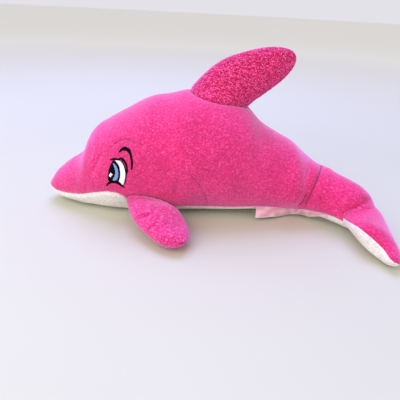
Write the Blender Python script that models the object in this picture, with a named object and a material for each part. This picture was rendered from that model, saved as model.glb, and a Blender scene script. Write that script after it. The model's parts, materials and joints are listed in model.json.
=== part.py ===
"""Plush dolphin, lying on its belly with the tail bent round to its left side.

Metres, +Z up. The snout points along -X and the dolphin's left side faces -Y.
The cover is sewn from short-pile fabric panels, and every part of it is filled
with fibre: one body, one dorsal fin, two flippers and one fluke.
"""

import math

import bmesh
import bpy
import numpy as np

MM = 0.001

# Cloth and sewing
CLOTH = 1.2 * MM
SEAM_GAP = 0.3 * MM
FLOOR = 0.0

# Body: distance from the snout tip, then underside, crest and half width there
BODY_LENGTH = 297.0 * MM
BODY_STATIONS = [
    (0.0, 13.0, 14.6, 0.9),
    (2.0, 10.0, 18.2, 5.3),
    (6.0, 5.6, 25.0, 10.5),
    (15.0, 2.4, 34.2, 17.0),
    (22.0, 1.2, 39.6, 21.2),
    (28.0, 0.4, 43.4, 24.5),
    (34.0, -0.6, 49.0, 28.0),
    (36.6, -0.9, 53.4, 29.6),
    (39.6, -1.2, 60.8, 31.3),
    (42.6, -1.5, 66.4, 32.8),
    (46.0, -1.8, 70.4, 34.5),
    (58.0, -2.6, 78.8, 39.0),
    (74.0, -3.0, 88.2, 42.5),
    (95.0, -2.6, 99.2, 45.5),
    (110.0, -1.6, 101.8, 46.5),
    (125.0, -0.4, 105.4, 47.0),
    (153.0, 1.2, 104.0, 46.0),
    (174.0, 2.4, 95.0, 43.0),
    (188.0, 3.2, 81.6, 39.0),
    (203.0, 4.0, 72.8, 35.0),
    (218.0, 4.6, 64.9, 31.2),
    (229.0, 5.0, 54.2, 28.2),
    (237.0, 5.2, 48.4, 25.4),
    (246.0, 5.0, 47.2, 22.2),
    (258.0, 4.6, 45.4, 18.8),
    (273.0, 4.2, 43.4, 16.2),
    (284.0, 5.0, 40.4, 14.6),
    (292.0, 8.4, 34.4, 12.2),
    (297.0, 13.6, 25.0, 6.6),
]
BODY_RINGS = 38
SIDE_COLUMNS = 8
BELLY_COLUMNS = 8
RING_CROWDING = 1.3
SURFACE_STEP = 0.2 * MM
ANGLE_STEP = 0.01

# The tail turns towards -Y between these two distances from the snout tip
TAIL_BEND = math.radians(46.0)
BEND_START = 214.0 * MM
BEND_END = 250.0 * MM

# Height of the seam between the coloured sides and the white underside
BELLY_SEAM = [
    (0.0, 13.8), (6.0, 13.2), (14.0, 12.6), (24.0, 14.0), (39.0, 18.0), (50.0, 22.0),
    (64.0, 25.0), (73.0, 22.5), (80.0, 15.0), (87.0, 9.0), (96.0, 7.6), (110.0, 9.6),
    (122.0, 12.4), (140.0, 13.2), (173.0, 14.0), (188.0, 14.2), (203.0, 12.8),
    (218.0, 10.4), (236.0, 10.6), (250.0, 11.4), (262.0, 13.2), (275.0, 13.8),
    (290.0, 13.4), (297.0, 14.4),
]

# Seam of the cheek panel, seen from the side: distance from the snout tip, height
CHEEK_SEAM = [
    (40.0, 11.0), (42.0, 26.0), (48.0, 41.5), (56.0, 52.5), (63.0, 60.5), (70.0, 67.5),
    (79.0, 70.5), (96.0, 67.5), (111.0, 61.5), (129.0, 50.0), (139.0, 38.0), (144.0, 26.0),
    (146.0, 14.0), (147.0, 3.0),
]
CHEEK_SEAM_STEPS = 26
SIDE_REACH = 80.0 * MM
BELOW_FLOOR = 10.0 * MM

# Dorsal fin: place along the body and height, from root to tip
DORSAL_LINE = [(146.8, 88.2), (152.8, 103.2), (167.3, 116.9), (182.7, 126.8), (208.7, 139.1)]
DORSAL_HALF_CHORD = [28.3, 24.2, 23.5, 22.1, 15.9]
DORSAL_HALF_THICKNESS = [31.0, 17.0, 12.0, 10.0, 8.0]
DORSAL_LEAN = [-10.7, -20.1, -27.8, -29.1, -47.1]

# Flipper: place along the body, distance from the middle plane, height, from root to tip
FLIPPER_LINE = [
    (95.8, 24.8, 23.3), (97.9, 38.9, 14.7), (105.9, 58.8, 15.5), (119.1, 77.4, 9.9),
    (127.8, 90.5, 10.8),
]
FLIPPER_HALF_CHORD = [22.2, 20.4, 19.2, 16.0, 11.2]
FLIPPER_HALF_THICKNESS = [10.0, 9.4, 9.6, 8.7, 6.9]
FLIPPER_SWEEP = [0.0, 8.0, 20.0, 30.0, 40.0]
FLIPPER_PITCH = [12.2, 17.3, 1.5, 2.4, -2.5]

# Fluke, from its left tip over the tail's end to its right tip, measured from that end
FLUKE_LINE = [
    (2.7, -52.5, -9.7), (3.3, -42.0, -10.1), (-3.4, -27.0, -4.8), (-4.2, 0.0, -2.4),
    (2.5, 18.0, -5.5), (7.5, 32.0, -9.0), (11.5, 43.0, -11.2),
]
FLUKE_HALF_CHORD = [7.8, 8.8, 16.9, 15.9, 15.6, 12.5, 8.0]
FLUKE_HALF_THICKNESS = [4.7, 7.5, 10.2, 10.4, 8.2, 6.2, 4.8]
FLUKE_TURN = [-2.0, 2.0, 2.0, -3.0, -8.0, -14.0, -18.0]
FLUKE_PITCH = [27.3, 37.9, 30.3, 3.0, 28.5, 33.0, 27.0]

POD_RINGS = 10
POD_COLUMNS = 6
TIP_BLUNTNESS = 7.0
TIP_STOP = 0.9985
SHARE_STEP = 0.001
EDGE_SEAM_ANGLE = 0.02

# Embroidery, raised by one layer of thread; outlines are measured from the pupil
THREAD = 0.9 * MM
EYE_PLACE = 70.5 * MM
EYE_HEIGHT = 45.0 * MM
EYE_WHITE = [(-0.7, 9.2), (1.2, 9.4), (3.6, 9.2), (5.4, 7.8), (6.6, 5.5), (7.3, 3.2),
             (7.6, 0.2), (7.4, -2.8), (6.8, -6.1), (5.9, -8.8), (4.8, -10.4), (3.3, -9.1),
             (2.1, -7.6), (3.3, -5.0), (3.8, -1.8), (3.7, 1.8), (3.1, 4.9), (1.8, 7.0),
             (0.2, 8.6)]
PUPIL = [(-1.6, 8.8), (-3.4, 8.0), (-4.8, 6.0), (-5.9, 3.4), (-6.7, 0.6), (-7.3, -2.4),
         (-7.6, -5.4), (-7.2, -7.2), (-4.4, -7.2), (-1.8, -6.7), (0.4, -7.1), (1.3, -7.4),
         (2.6, -5.0), (3.1, -1.8), (3.0, 1.6), (2.4, 4.6), (1.1, 6.7), (-0.3, 8.2)]
IRIS = [(-2.5, 6.5), (-1.1, 6.5), (0.5, 4.7), (1.4, 2.4), (1.8, -0.5), (1.6, -3.5),
        (0.7, -5.1), (-0.9, -5.7), (-3.1, -5.8), (-2.5, -4.8), (-1.5, -3.1), (-0.9, -0.2),
        (-1.2, 2.1), (-2.0, 4.5)]
HIGHLIGHT_RADIUS = 1.9 * MM
HIGHLIGHT_PLACE = (-4.7, -2.9)
LASH = [(-5.4, 9.5), (-3.6, 10.5), (-2.0, 11.1), (-0.4, 11.3), (1.3, 11.2), (3.0, 11.8),
        (4.5, 12.2), (5.9, 11.3), (7.4, 9.6), (8.3, 7.8), (9.0, 5.3), (9.2, 3.2),
        (9.1, 0.2), (8.8, -2.9), (8.2, -6.0), (7.1, -9.1), (6.5, -8.8), (7.4, -6.0),
        (7.9, -2.9), (8.1, 0.2), (7.8, 3.3), (7.1, 5.8), (5.8, 8.2), (3.9, 9.8), (1.3, 9.9),
        (-0.5, 9.8), (-1.9, 9.5), (-4.8, 9.0)]
LOWER_LID = [(-9.3, -12.9), (-8.3, -11.0), (-7.1, -9.6), (-4.5, -7.9), (-1.8, -7.4),
             (0.2, -7.9), (2.6, -9.2), (4.6, -11.1), (5.6, -13.3), (4.4, -12.9),
             (2.5, -11.5), (0.1, -10.1), (-1.9, -9.5), (-4.6, -9.9), (-7.0, -11.4)]
BROW = [(1.9, 16.6), (3.3, 18.4), (4.7, 19.6), (6.3, 20.3), (8.2, 20.5), (10.0, 19.9),
        (11.6, 18.6), (12.5, 16.2), (13.2, 13.6), (13.8, 10.4), (13.8, 7.0), (13.1, 3.9),
        (12.3, 3.9), (12.4, 8.0), (12.0, 11.3), (11.4, 14.0), (10.6, 15.7), (9.4, 17.0),
        (8.1, 17.8), (6.3, 17.9), (4.5, 17.3), (2.8, 16.0)]
EMBROIDERY_STEPS = 2
EYE_FIELD_FRONT = 14.0 * MM
EYE_FIELD_BACK = 22.0 * MM
EYE_FIELD_LOW = math.radians(-32.0)
EYE_FIELD_HIGH = math.radians(52.0)
EYE_FIELD_STEPS = 9
HIGHLIGHT_SIDES = 10

# Care label, hung from the belly seam of the left flank; tilts run from its free end
LABEL_LENGTH = 80.0 * MM
LABEL_TO_TAIL = 29.0 * MM
LABEL_WIDTH = 10.0 * MM
LABEL_THICKNESS = 0.5 * MM
LABEL_CLEARANCE = 0.4 * MM
LABEL_TILT = [20.0, 8.0, -8.0, -20.0, -28.0, -32.0, -36.0, -34.0, -24.0]
LABEL_ROWS = 12
LABEL_COLUMNS = 4

PINK = (0.78, 0.045, 0.24, 1.0)
DEEP_PINK = (0.70, 0.03, 0.18, 1.0)
WHITE = (0.80, 0.77, 0.72, 1.0)
FIBRE = (0.86, 0.85, 0.82, 1.0)
THREAD_BLACK = (0.012, 0.011, 0.018, 1.0)
THREAD_BLUE = (0.25, 0.42, 0.78, 1.0)
THREAD_WHITE = (0.88, 0.88, 0.88, 1.0)
LABEL_PINK = (0.82, 0.42, 0.58, 1.0)


def clear_scene():
    """Remove every object of the start-up scene."""
    for old in list(bpy.data.objects):
        bpy.data.objects.remove(old, do_unlink=True)


def make_collection(name):
    """Add a collection to the scene."""
    collection = bpy.data.collections.new(name)
    bpy.context.scene.collection.children.link(collection)
    return collection


def make_material(name, colour, roughness):
    """Principled material for one kind of cloth or thread."""
    material = bpy.data.materials.new(name)
    material.use_nodes = True
    shader = material.node_tree.nodes["Principled BSDF"]
    shader.inputs["Base Color"].default_value = colour
    shader.inputs["Roughness"].default_value = roughness
    shader.inputs["Metallic"].default_value = 0.0
    material.diffuse_color = colour
    return material


def smooth(at, places, values):
    """Smooth curve through values at places, read at one or many points."""
    places = np.asarray(places, float)
    values = np.asarray(values, float)
    at = np.clip(np.asarray(at, float), places[0], places[-1])
    slopes = np.gradient(values, places)
    low = np.clip(np.searchsorted(places, at) - 1, 0, len(places) - 2)
    span = places[low + 1] - places[low]
    u = (at - places[low]) / span
    return (
        (2 * u**3 - 3 * u**2 + 1) * values[low]
        + (u**3 - 2 * u**2 + u) * span * slopes[low]
        + (3 * u**2 - 2 * u**3) * values[low + 1]
        + (u**3 - u**2) * span * slopes[low + 1]
    )


def column(table, index):
    """One column of a table of millimetres, in metres."""
    return np.array([row[index] for row in table]) * MM


def heading(along):
    """Angle that the body's middle line has turned towards -Y."""
    u = np.clip((along - BEND_START) / (BEND_END - BEND_START), 0.0, 1.0)
    return TAIL_BEND * u * u * (3.0 - 2.0 * u)


def middle_line(along):
    """Plan position of the body's middle line at a distance from the snout tip."""
    along = np.asarray(along, float)
    steps = np.linspace(0.0, BODY_LENGTH + CLOTH, 1200)
    turn = heading(steps)
    step = steps[1] - steps[0]
    x = np.concatenate([[0.0], np.cumsum(np.cos(turn[:-1]) * step)])
    y = np.concatenate([[0.0], np.cumsum(-np.sin(turn[:-1]) * step)])
    return np.interp(along, steps, x), np.interp(along, steps, y)


def body_section(along):
    """Half width, half height and mid height of the body's oval section."""
    scale = BODY_LENGTH / column(BODY_STATIONS, 0)[-1]
    places = column(BODY_STATIONS, 0) * scale
    bottom = smooth(along, places, column(BODY_STATIONS, 1))
    top = smooth(along, places, column(BODY_STATIONS, 2))
    half_width = smooth(along, places, column(BODY_STATIONS, 3))
    return half_width, (top - bottom) / 2.0, (top + bottom) / 2.0


def body_point(along, angle):
    """Point of the body's oval, with angle -90 under the belly and 90 on the crest."""
    half_width, half_height, middle = body_section(along)
    x, y = middle_line(along)
    turn = heading(along)
    reach = half_width * np.cos(angle)
    height = middle + half_height * np.sin(angle)
    return np.stack(
        [x - np.sin(turn) * reach, y - np.cos(turn) * reach, np.maximum(height, FLOOR)],
        axis=-1,
    )


def offset_surface(point, first, second, offset, first_range):
    """Surface point moved outwards along its normal, found by small steps."""
    before = np.clip(first - SURFACE_STEP, *first_range)
    after = np.clip(first + SURFACE_STEP, *first_range)
    along = point(after, second) - point(before, second)
    around = point(first, second + ANGLE_STEP) - point(first, second - ANGLE_STEP)
    normal = np.cross(along, around)
    normal /= np.maximum(np.linalg.norm(normal, axis=-1, keepdims=True), 1e-12)
    return point(first, second) + normal * offset


def body_surface(along, angle, offset):
    """Body surface moved outwards by an offset."""
    along, angle = np.broadcast_arrays(along, angle)
    moved = offset_surface(body_point, along, angle, offset, (0.0, BODY_LENGTH))
    return moved


def seam_angle(along):
    """Angle of the belly seam on the body's section."""
    height = smooth(along, column(BELLY_SEAM, 0), column(BELLY_SEAM, 1))
    _, half_height, middle = body_section(along)
    return np.arcsin(np.clip((height - middle) / half_height, -0.999, 0.999))


def seam_inset(along):
    """Half the seam's gap as an angle on the body's section."""
    half_width, _, _ = body_section(along)
    return SEAM_GAP / 2.0 / np.maximum(half_width, SEAM_GAP)


def add_mesh(name, vertices, faces, material, collection):
    """Closed mesh object with its faces pointing outwards."""
    mesh = bpy.data.meshes.new(name)
    mesh.from_pydata([tuple(v) for v in vertices], [], faces)
    work = bmesh.new()
    work.from_mesh(mesh)
    bmesh.ops.recalc_face_normals(work, faces=work.faces)
    work.to_mesh(mesh)
    work.free()
    mesh.shade_smooth()
    mesh.set_sharp_from_angle(angle=math.radians(40.0))
    if material:
        mesh.materials.append(material)
    piece = bpy.data.objects.new(name, mesh)
    collection.objects.link(piece)
    return piece


def split_quad(a, b, c, d):
    """Two triangles, with the same diagonal on every layer of cloth and filling."""
    return [(a, b, c), (a, c, d)]


def sheet_solid(name, outer, inner, material, collection):
    """Cloth with a wall, between an outer and an inner grid of points."""
    rows, columns = outer.shape[:2]
    index = np.arange(rows * columns).reshape(rows, columns)
    below = index + rows * columns
    faces = []
    for i in range(rows - 1):
        for j in range(columns - 1):
            for face in split_quad(index[i, j], index[i + 1, j],
                                   index[i + 1, j + 1], index[i, j + 1]):
                faces.append(face)
                faces.append(tuple(v + rows * columns for v in reversed(face)))
    rim = list(index[0, :]) + list(index[1:, -1]) + list(index[-1, -2::-1])
    rim += list(index[-2:0:-1, 0])
    shift = below[0, 0]
    for a, b in zip(rim, rim[1:] + rim[:1]):
        faces.append((a, b, b + shift, a + shift))
    vertices = np.concatenate([outer.reshape(-1, 3), inner.reshape(-1, 3)])
    faces = [tuple(int(v) for v in face) for face in faces]
    return add_mesh(name, vertices, faces, material, collection)


def loft_solid(name, rings, material, collection):
    """Solid through closed rings of points, with flat ends."""
    rows, columns = rings.shape[:2]
    faces = []
    for i in range(rows - 1):
        for j in range(columns):
            k = (j + 1) % columns
            faces += split_quad(i * columns + j, (i + 1) * columns + j,
                                (i + 1) * columns + k, i * columns + k)
    faces.append(tuple(range(columns)))
    last = (rows - 1) * columns
    faces.append(tuple(range(last + columns - 1, last - 1, -1)))
    return add_mesh(name, rings.reshape(-1, 3), faces, material, collection)


def ring_angles(count):
    """Angles of a closed ring."""
    return np.linspace(0.0, 2.0 * math.pi, count, endpoint=False)


def body_places(count):
    """Ring places along the body, closer together at the snout and the mouth."""
    share = np.linspace(0.0, 1.0, count)
    return BODY_LENGTH * share**RING_CROWDING


def body_panel(name, low, high, columns, material, collection):
    """Cloth panel between two seam angles along the whole body."""
    along = body_places(BODY_RINGS)[:, None]
    inset = seam_inset(along)
    share = np.linspace(0.0, 1.0, columns + 1)[None, :]
    angle = (low(along) + inset) * (1.0 - share) + (high(along) - inset) * share
    return sheet_solid(
        name,
        body_surface(along, angle, 0.0),
        body_surface(along, angle, -CLOTH),
        material,
        collection,
    )


def whole_ring(along):
    """Angles right round the body, in step with the columns of its panels."""
    seam = seam_angle(along)
    side = np.linspace(0.0, 1.0, SIDE_COLUMNS, endpoint=False)[None, :]
    belly = np.linspace(0.0, 1.0, BELLY_COLUMNS, endpoint=False)[None, :]
    left = seam + (math.pi / 2.0 - seam) * side
    right = math.pi / 2.0 + (math.pi / 2.0 - seam) * side
    under = math.pi - seam + (math.pi + 2.0 * seam) * belly
    return np.concatenate([left, right, under], axis=1)


def body_solid(name, offset, material, collection):
    """Solid body at an offset from the outer surface."""
    along = body_places(BODY_RINGS)[:, None]
    points = body_surface(along, whole_ring(along), offset)
    return loft_solid(name, points, material, collection)


def pod_point(line, half_chord, half_thickness, chord_way, thick_way, ends):
    """Surface of a flat pod: a function of share along its line and section angle."""
    line = np.asarray(line, float)
    knots = np.linspace(0.0, 1.0, len(line))

    def point(share, angle):
        share, angle = np.broadcast_arrays(share, angle)
        inside = np.clip(share, 0.0, 1.0)
        far = np.abs(2.0 * inside - 1.0) if ends == 2 else inside
        blunt = np.sqrt(np.maximum(1.0 - far ** TIP_BLUNTNESS, 1e-6))
        centre = np.stack([smooth(inside, knots, line[:, k]) for k in range(3)], -1)
        chord = np.stack([smooth(inside, knots, chord_way[:, k]) for k in range(3)], -1)
        thick = np.stack([smooth(inside, knots, thick_way[:, k]) for k in range(3)], -1)
        wide = smooth(inside, knots, half_chord) * blunt * np.cos(angle)
        deep = smooth(inside, knots, half_thickness) * blunt * np.sin(angle)
        return centre + chord * wide[..., None] + thick * deep[..., None]

    return point


def pod_offset(point, share, angle, offset):
    """Pod surface moved outwards by an offset."""
    share, angle = np.broadcast_arrays(share, angle)
    before = np.clip(share - SHARE_STEP, 0.0, 1.0)
    after = np.clip(share + SHARE_STEP, 0.0, 1.0)
    along = point(after, angle) - point(before, angle)
    around = point(share, angle + ANGLE_STEP) - point(share, angle - ANGLE_STEP)
    normal = np.cross(along, around)
    normal /= np.maximum(np.linalg.norm(normal, axis=-1, keepdims=True), 1e-12)
    surface = point(share, angle)
    outwards = np.sign(np.sum(normal * (surface - point(share, angle + math.pi))))
    return surface + normal * outwards * offset


def pod_shares(ends):
    """Shares along a pod's line, closer together at its tips."""
    turn = np.linspace(0.0, 1.0, POD_RINGS + 1)
    if ends == 2:
        return 0.5 - 0.5 * TIP_STOP * np.cos(turn * math.pi)
    return TIP_STOP * np.sin(turn * math.pi / 2.0)


def pod_pieces(name, cover_names, point, ends, materials, collection):
    """Two cover panels sewn round the edge, and the filling between them."""
    share = pod_shares(ends)[:, None]
    turn = EDGE_SEAM_ANGLE
    pieces = []
    for cover, start, material in zip(cover_names, (0.0, math.pi), materials):
        angle = np.linspace(start + turn, start + math.pi - turn, POD_COLUMNS + 1)[None, :]
        outer = pod_offset(point, share, angle, 0.0)
        inner = pod_offset(point, share, angle, -CLOTH)
        pieces.append(sheet_solid(f"{name}_{cover}", outer, inner, material, collection))
    inside = pod_offset(point, share, ring_angles(2 * POD_COLUMNS)[None, :],
                        -(CLOTH + SEAM_GAP))
    pieces.append(loft_solid(f"{name}_stuffing", inside, MATERIALS["fibre"], collection))
    return pieces


def dorsal_fin(collection):
    """Dorsal fin pod, standing on the crest and swept back."""
    x, _ = middle_line(column(DORSAL_LINE, 0))
    line = np.stack([x, np.zeros_like(x), column(DORSAL_LINE, 1)], -1)
    lean = np.radians(DORSAL_LEAN)
    chord = np.stack([np.cos(lean), np.zeros_like(lean), np.sin(lean)], -1)
    thick = np.tile([0.0, -1.0, 0.0], (len(line), 1))
    point = pod_point(line, np.array(DORSAL_HALF_CHORD) * MM,
                      np.array(DORSAL_HALF_THICKNESS) * MM, chord, thick, 1)
    pink = MATERIALS["deep_pink"]
    return pod_pieces("dorsal_fin", ("left_panel", "right_panel"), point, 1, (pink, pink),
                      collection)


def flipper(side, mirror, collection):
    """Flipper pod reaching out and down from the breast to the floor."""
    x, _ = middle_line(column(FLIPPER_LINE, 0))
    y = -mirror * column(FLIPPER_LINE, 1)
    line = np.stack([x, y, column(FLIPPER_LINE, 2)], -1)
    sweep = np.radians(FLIPPER_SWEEP)
    level = np.stack([np.cos(sweep), mirror * np.sin(sweep), np.zeros_like(sweep)], -1)
    upright = np.array([0.0, 0.0, 1.0])
    pitch = np.radians(FLIPPER_PITCH)[:, None]
    chord = level * np.cos(pitch) - upright * np.sin(pitch)
    thick = level * np.sin(pitch) + upright * np.cos(pitch)
    point = pod_point(line, np.array(FLIPPER_HALF_CHORD) * MM,
                      np.array(FLIPPER_HALF_THICKNESS) * MM, chord, thick, 1)
    pink = MATERIALS["deep_pink"]
    return pod_pieces(f"{side}_flipper", ("upper_panel", "lower_panel"), point, 1,
                      (pink, pink), collection)


def fluke(collection):
    """Fluke pod across the tail's end, with both lobes drooping to the floor."""
    end_x, end_y = middle_line(BODY_LENGTH)
    _, _, end_z = body_section(BODY_LENGTH)
    line = np.array(FLUKE_LINE) * MM + np.array([end_x, end_y, end_z])
    turn = np.radians(FLUKE_TURN)
    level = np.stack([np.cos(turn), np.sin(turn), np.zeros_like(turn)], -1)
    upright = np.array([0.0, 0.0, 1.0])
    pitch = np.radians(FLUKE_PITCH)[:, None]
    chord = level * np.cos(pitch) - upright * np.sin(pitch)
    thick = level * np.sin(pitch) + upright * np.cos(pitch)
    point = pod_point(line, np.array(FLUKE_HALF_CHORD) * MM,
                      np.array(FLUKE_HALF_THICKNESS) * MM, chord, thick, 2)
    return pod_pieces("fluke", ("upper_panel", "lower_panel"), point, 2,
                      (MATERIALS["pink"], MATERIALS["white"]), collection)


def add_boolean(piece, cutter, operation):
    """Boolean modifier that cuts a piece by a cutter, or keeps what is inside it."""
    cut = piece.modifiers.new(f"{operation.lower()}_{cutter.name}", "BOOLEAN")
    cut.operation = operation
    cut.object = cutter
    cut.solver = "EXACT"


def hide_cutter(cutter):
    """Mark an object as a cutter."""
    cutter.hide_render = True
    cutter.display_type = "WIRE"


def prism(name, outline, low_y, high_y, collection):
    """Cutter extruded along Y from an outline in the XZ plane."""
    count = len(outline)
    front = np.column_stack([outline[:, 0], np.full(count, low_y), outline[:, 1]])
    back = np.column_stack([outline[:, 0], np.full(count, high_y), outline[:, 1]])
    cutter = loft_solid(name, np.stack([front, back]), None, collection)
    hide_cutter(cutter)
    return cutter


def grown(outline, distance):
    """Outline moved outwards by a distance."""
    ahead = np.roll(outline, -1, axis=0) - np.roll(outline, 1, axis=0)
    ahead /= np.linalg.norm(ahead, axis=1, keepdims=True)
    normal = np.column_stack([ahead[:, 1], -ahead[:, 0]])
    area = np.sum(outline[:, 0] * np.roll(outline[:, 1], -1)
                  - np.roll(outline[:, 0], -1) * outline[:, 1])
    return outline + normal * distance * (1.0 if area > 0 else -1.0)


def cheek_outline(distance):
    """Side view of the cheek panel, down to below the floor."""
    share = np.linspace(0.0, 1.0, CHEEK_SEAM_STEPS)
    knots = np.linspace(0.0, 1.0, len(CHEEK_SEAM))
    x, _ = middle_line(smooth(share, knots, column(CHEEK_SEAM, 0)))
    z = smooth(share, knots, column(CHEEK_SEAM, 1))
    arch = np.column_stack([x, z])
    start = [arch[0, 0], -BELOW_FLOOR]
    end = [arch[-1, 0], -BELOW_FLOOR]
    return grown(np.vstack([arch, end, start]), distance)


def closed_smooth(points):
    """Closed outline rounded through its points."""
    points = np.array(points) * MM
    count = len(points)
    wrapped = np.vstack([points[-2:], points, points[:3]])
    knots = np.arange(len(wrapped)) - 2.0
    share = np.arange(count * EMBROIDERY_STEPS) / EMBROIDERY_STEPS
    return np.column_stack([smooth(share, knots, wrapped[:, k]) for k in range(2)])


def embroidered_eye(side, mirror, parts, cutters):
    """Embroidered patches of one eye, with its lids and the brow above it."""
    x, _ = middle_line(EYE_PLACE)
    eye = np.array([float(x), EYE_HEIGHT])
    turn = ring_angles(HIGHLIGHT_SIDES)
    glint = np.column_stack([np.cos(turn), np.sin(turn)]) * HIGHLIGHT_RADIUS
    glint += np.array(HIGHLIGHT_PLACE) * MM
    iris = closed_smooth(IRIS)
    patches = [
        ("eye_white", closed_smooth(EYE_WHITE), "thread_white"),
        ("iris", iris, "thread_blue"),
        ("pupil", closed_smooth(PUPIL), "thread_black"),
        ("highlight", glint, "thread_white"),
        ("lash", closed_smooth(LASH), "thread_black"),
        ("lower_lid", closed_smooth(LOWER_LID), "thread_black"),
        ("brow", closed_smooth(BROW), "thread_black"),
    ]
    low_y, high_y = sorted((0.0, -mirror * SIDE_REACH))
    holes = [
        prism(f"{side}_{name}_hole", grown(outline, SEAM_GAP) + eye, low_y, high_y, cutters)
        for name, outline in (("highlight", glint), ("iris", iris))
    ]
    along = np.linspace(EYE_PLACE - EYE_FIELD_FRONT, EYE_PLACE + EYE_FIELD_BACK,
                        EYE_FIELD_STEPS)[:, None]
    angle = np.linspace(EYE_FIELD_LOW, EYE_FIELD_HIGH, EYE_FIELD_STEPS)[None, :]
    if mirror < 0:
        angle = math.pi - angle
    lower = body_surface(along, angle, SEAM_GAP)
    upper = body_surface(along, angle, SEAM_GAP + THREAD)
    for name, outline, material in patches:
        patch = sheet_solid(f"{side}_{name}", upper, lower, MATERIALS[material], parts)
        cutter = prism(f"{side}_{name}_outline", outline + eye, low_y, high_y, cutters)
        add_boolean(patch, cutter, "INTERSECT")
        for hole in holes if name == "pupil" else []:
            add_boolean(patch, hole, "DIFFERENCE")


def care_label(collection):
    """Thin ribbon that hangs from the belly seam, tilted out or in from upright."""
    end = BODY_LENGTH - LABEL_TO_TAIL
    along = np.linspace(end - LABEL_LENGTH, end, LABEL_ROWS)
    seam = body_surface(along, seam_angle(along), LABEL_CLEARANCE)
    turn = heading(along)
    side = np.stack([-np.sin(turn), -np.cos(turn), np.zeros_like(turn)], -1)
    upright = np.array([0.0, 0.0, 1.0])
    knots = np.linspace(along[0], along[-1], len(LABEL_TILT))
    tilt = np.radians(smooth(along, knots, LABEL_TILT))[:, None]
    down = side * np.sin(tilt) - upright * np.cos(tilt)
    out = side * np.cos(tilt) + upright * np.sin(tilt)
    share = np.linspace(0.0, 1.0, LABEL_COLUMNS)[None, :, None]
    lower = seam[:, None, :] + down[:, None, :] * LABEL_WIDTH * share
    upper = lower + out[:, None, :] * LABEL_THICKNESS
    return sheet_solid("care_label", upper, lower, MATERIALS["label"], collection)


def stand_on_origin(parts, cutters):
    """Put the pieces under one empty, with the object's box centred on the origin."""
    base = bpy.data.objects.new("dolphin_base", None)
    bpy.context.scene.collection.objects.link(base)
    bpy.context.view_layer.update()
    graph = bpy.context.evaluated_depsgraph_get()
    corners = []
    for piece in parts.objects:
        mesh = piece.evaluated_get(graph).data
        points = np.empty(len(mesh.vertices) * 3)
        mesh.vertices.foreach_get("co", points)
        corners.append(points.reshape(-1, 3).min(axis=0))
        corners.append(points.reshape(-1, 3).max(axis=0))
    low = np.min(corners, axis=0)
    high = np.max(corners, axis=0)
    for piece in list(parts.objects) + list(cutters.objects):
        piece.parent = base
    base.location = (-(low[0] + high[0]) / 2.0, -(low[1] + high[1]) / 2.0, -low[2])


clear_scene()
PARTS = make_collection("plush_dolphin")
CUTTERS = make_collection("cutters")
MATERIALS = {
    "pink": make_material("pink_plush", PINK, 0.9),
    "deep_pink": make_material("deep_pink_plush", DEEP_PINK, 0.95),
    "white": make_material("white_plush", WHITE, 0.9),
    "fibre": make_material("polyester_fibre", FIBRE, 1.0),
    "thread_black": make_material("black_thread", THREAD_BLACK, 0.5),
    "thread_blue": make_material("blue_thread", THREAD_BLUE, 0.5),
    "thread_white": make_material("white_thread", THREAD_WHITE, 0.5),
    "label": make_material("label_satin", LABEL_PINK, 0.4),
}

# Body filling, and the envelope that the fins are fitted to
body_solid("body_stuffing", -(CLOTH + SEAM_GAP), MATERIALS["fibre"], PARTS)
envelope = body_solid("body_envelope", SEAM_GAP, None, CUTTERS)
hide_cutter(envelope)

# Underside, cheeks and sides
body_panel("belly_panel", lambda s: -math.pi - seam_angle(s), seam_angle, BELLY_COLUMNS,
           MATERIALS["white"], PARTS)
cheek = prism("cheek_cutter", cheek_outline(-SEAM_GAP / 2.0), -SIDE_REACH, SIDE_REACH, CUTTERS)
around_cheek = prism("around_cheek_cutter", cheek_outline(SEAM_GAP / 2.0),
                     -SIDE_REACH, SIDE_REACH, CUTTERS)
SIDES = {
    "left": (seam_angle, lambda s: np.full_like(s, math.pi / 2.0)),
    "right": (lambda s: np.full_like(s, math.pi / 2.0), lambda s: math.pi - seam_angle(s)),
}
for side_name, (low_seam, high_seam) in SIDES.items():
    for panel, cutter, operation in (
        ("cheek_panel", cheek, "INTERSECT"),
        ("body_panel", around_cheek, "DIFFERENCE"),
    ):
        cloth = body_panel(f"{side_name}_{panel}", low_seam, high_seam, SIDE_COLUMNS,
                           MATERIALS["pink"], PARTS)
        add_boolean(cloth, cutter, operation)

# Fins, flippers and fluke, each trimmed where it is sewn to the body
fins = dorsal_fin(PARTS) + fluke(PARTS)
fins += flipper("left", 1.0, PARTS) + flipper("right", -1.0, PARTS)
for piece in fins:
    add_boolean(piece, envelope, "DIFFERENCE")

# Face and label
embroidered_eye("left", 1.0, PARTS, CUTTERS)
embroidered_eye("right", -1.0, PARTS, CUTTERS)
care_label(PARTS)

stand_on_origin(PARTS, CUTTERS)
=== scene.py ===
"""A plush dolphin, lying on its belly on a pale studio floor.

Every visible piece is worked out again as a sewn pile cloth over its filling,
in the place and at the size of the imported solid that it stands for. Shapes are
written in the maker's own frame, in metres: x runs from the snout to the tail,
the dolphin's left side faces -y, and z is up from the floor. The last step of
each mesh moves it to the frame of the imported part.
"""

from __future__ import annotations

import json
import logging
import math
from dataclasses import dataclass, field
from enum import Enum
from typing import Callable, Sequence

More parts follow.
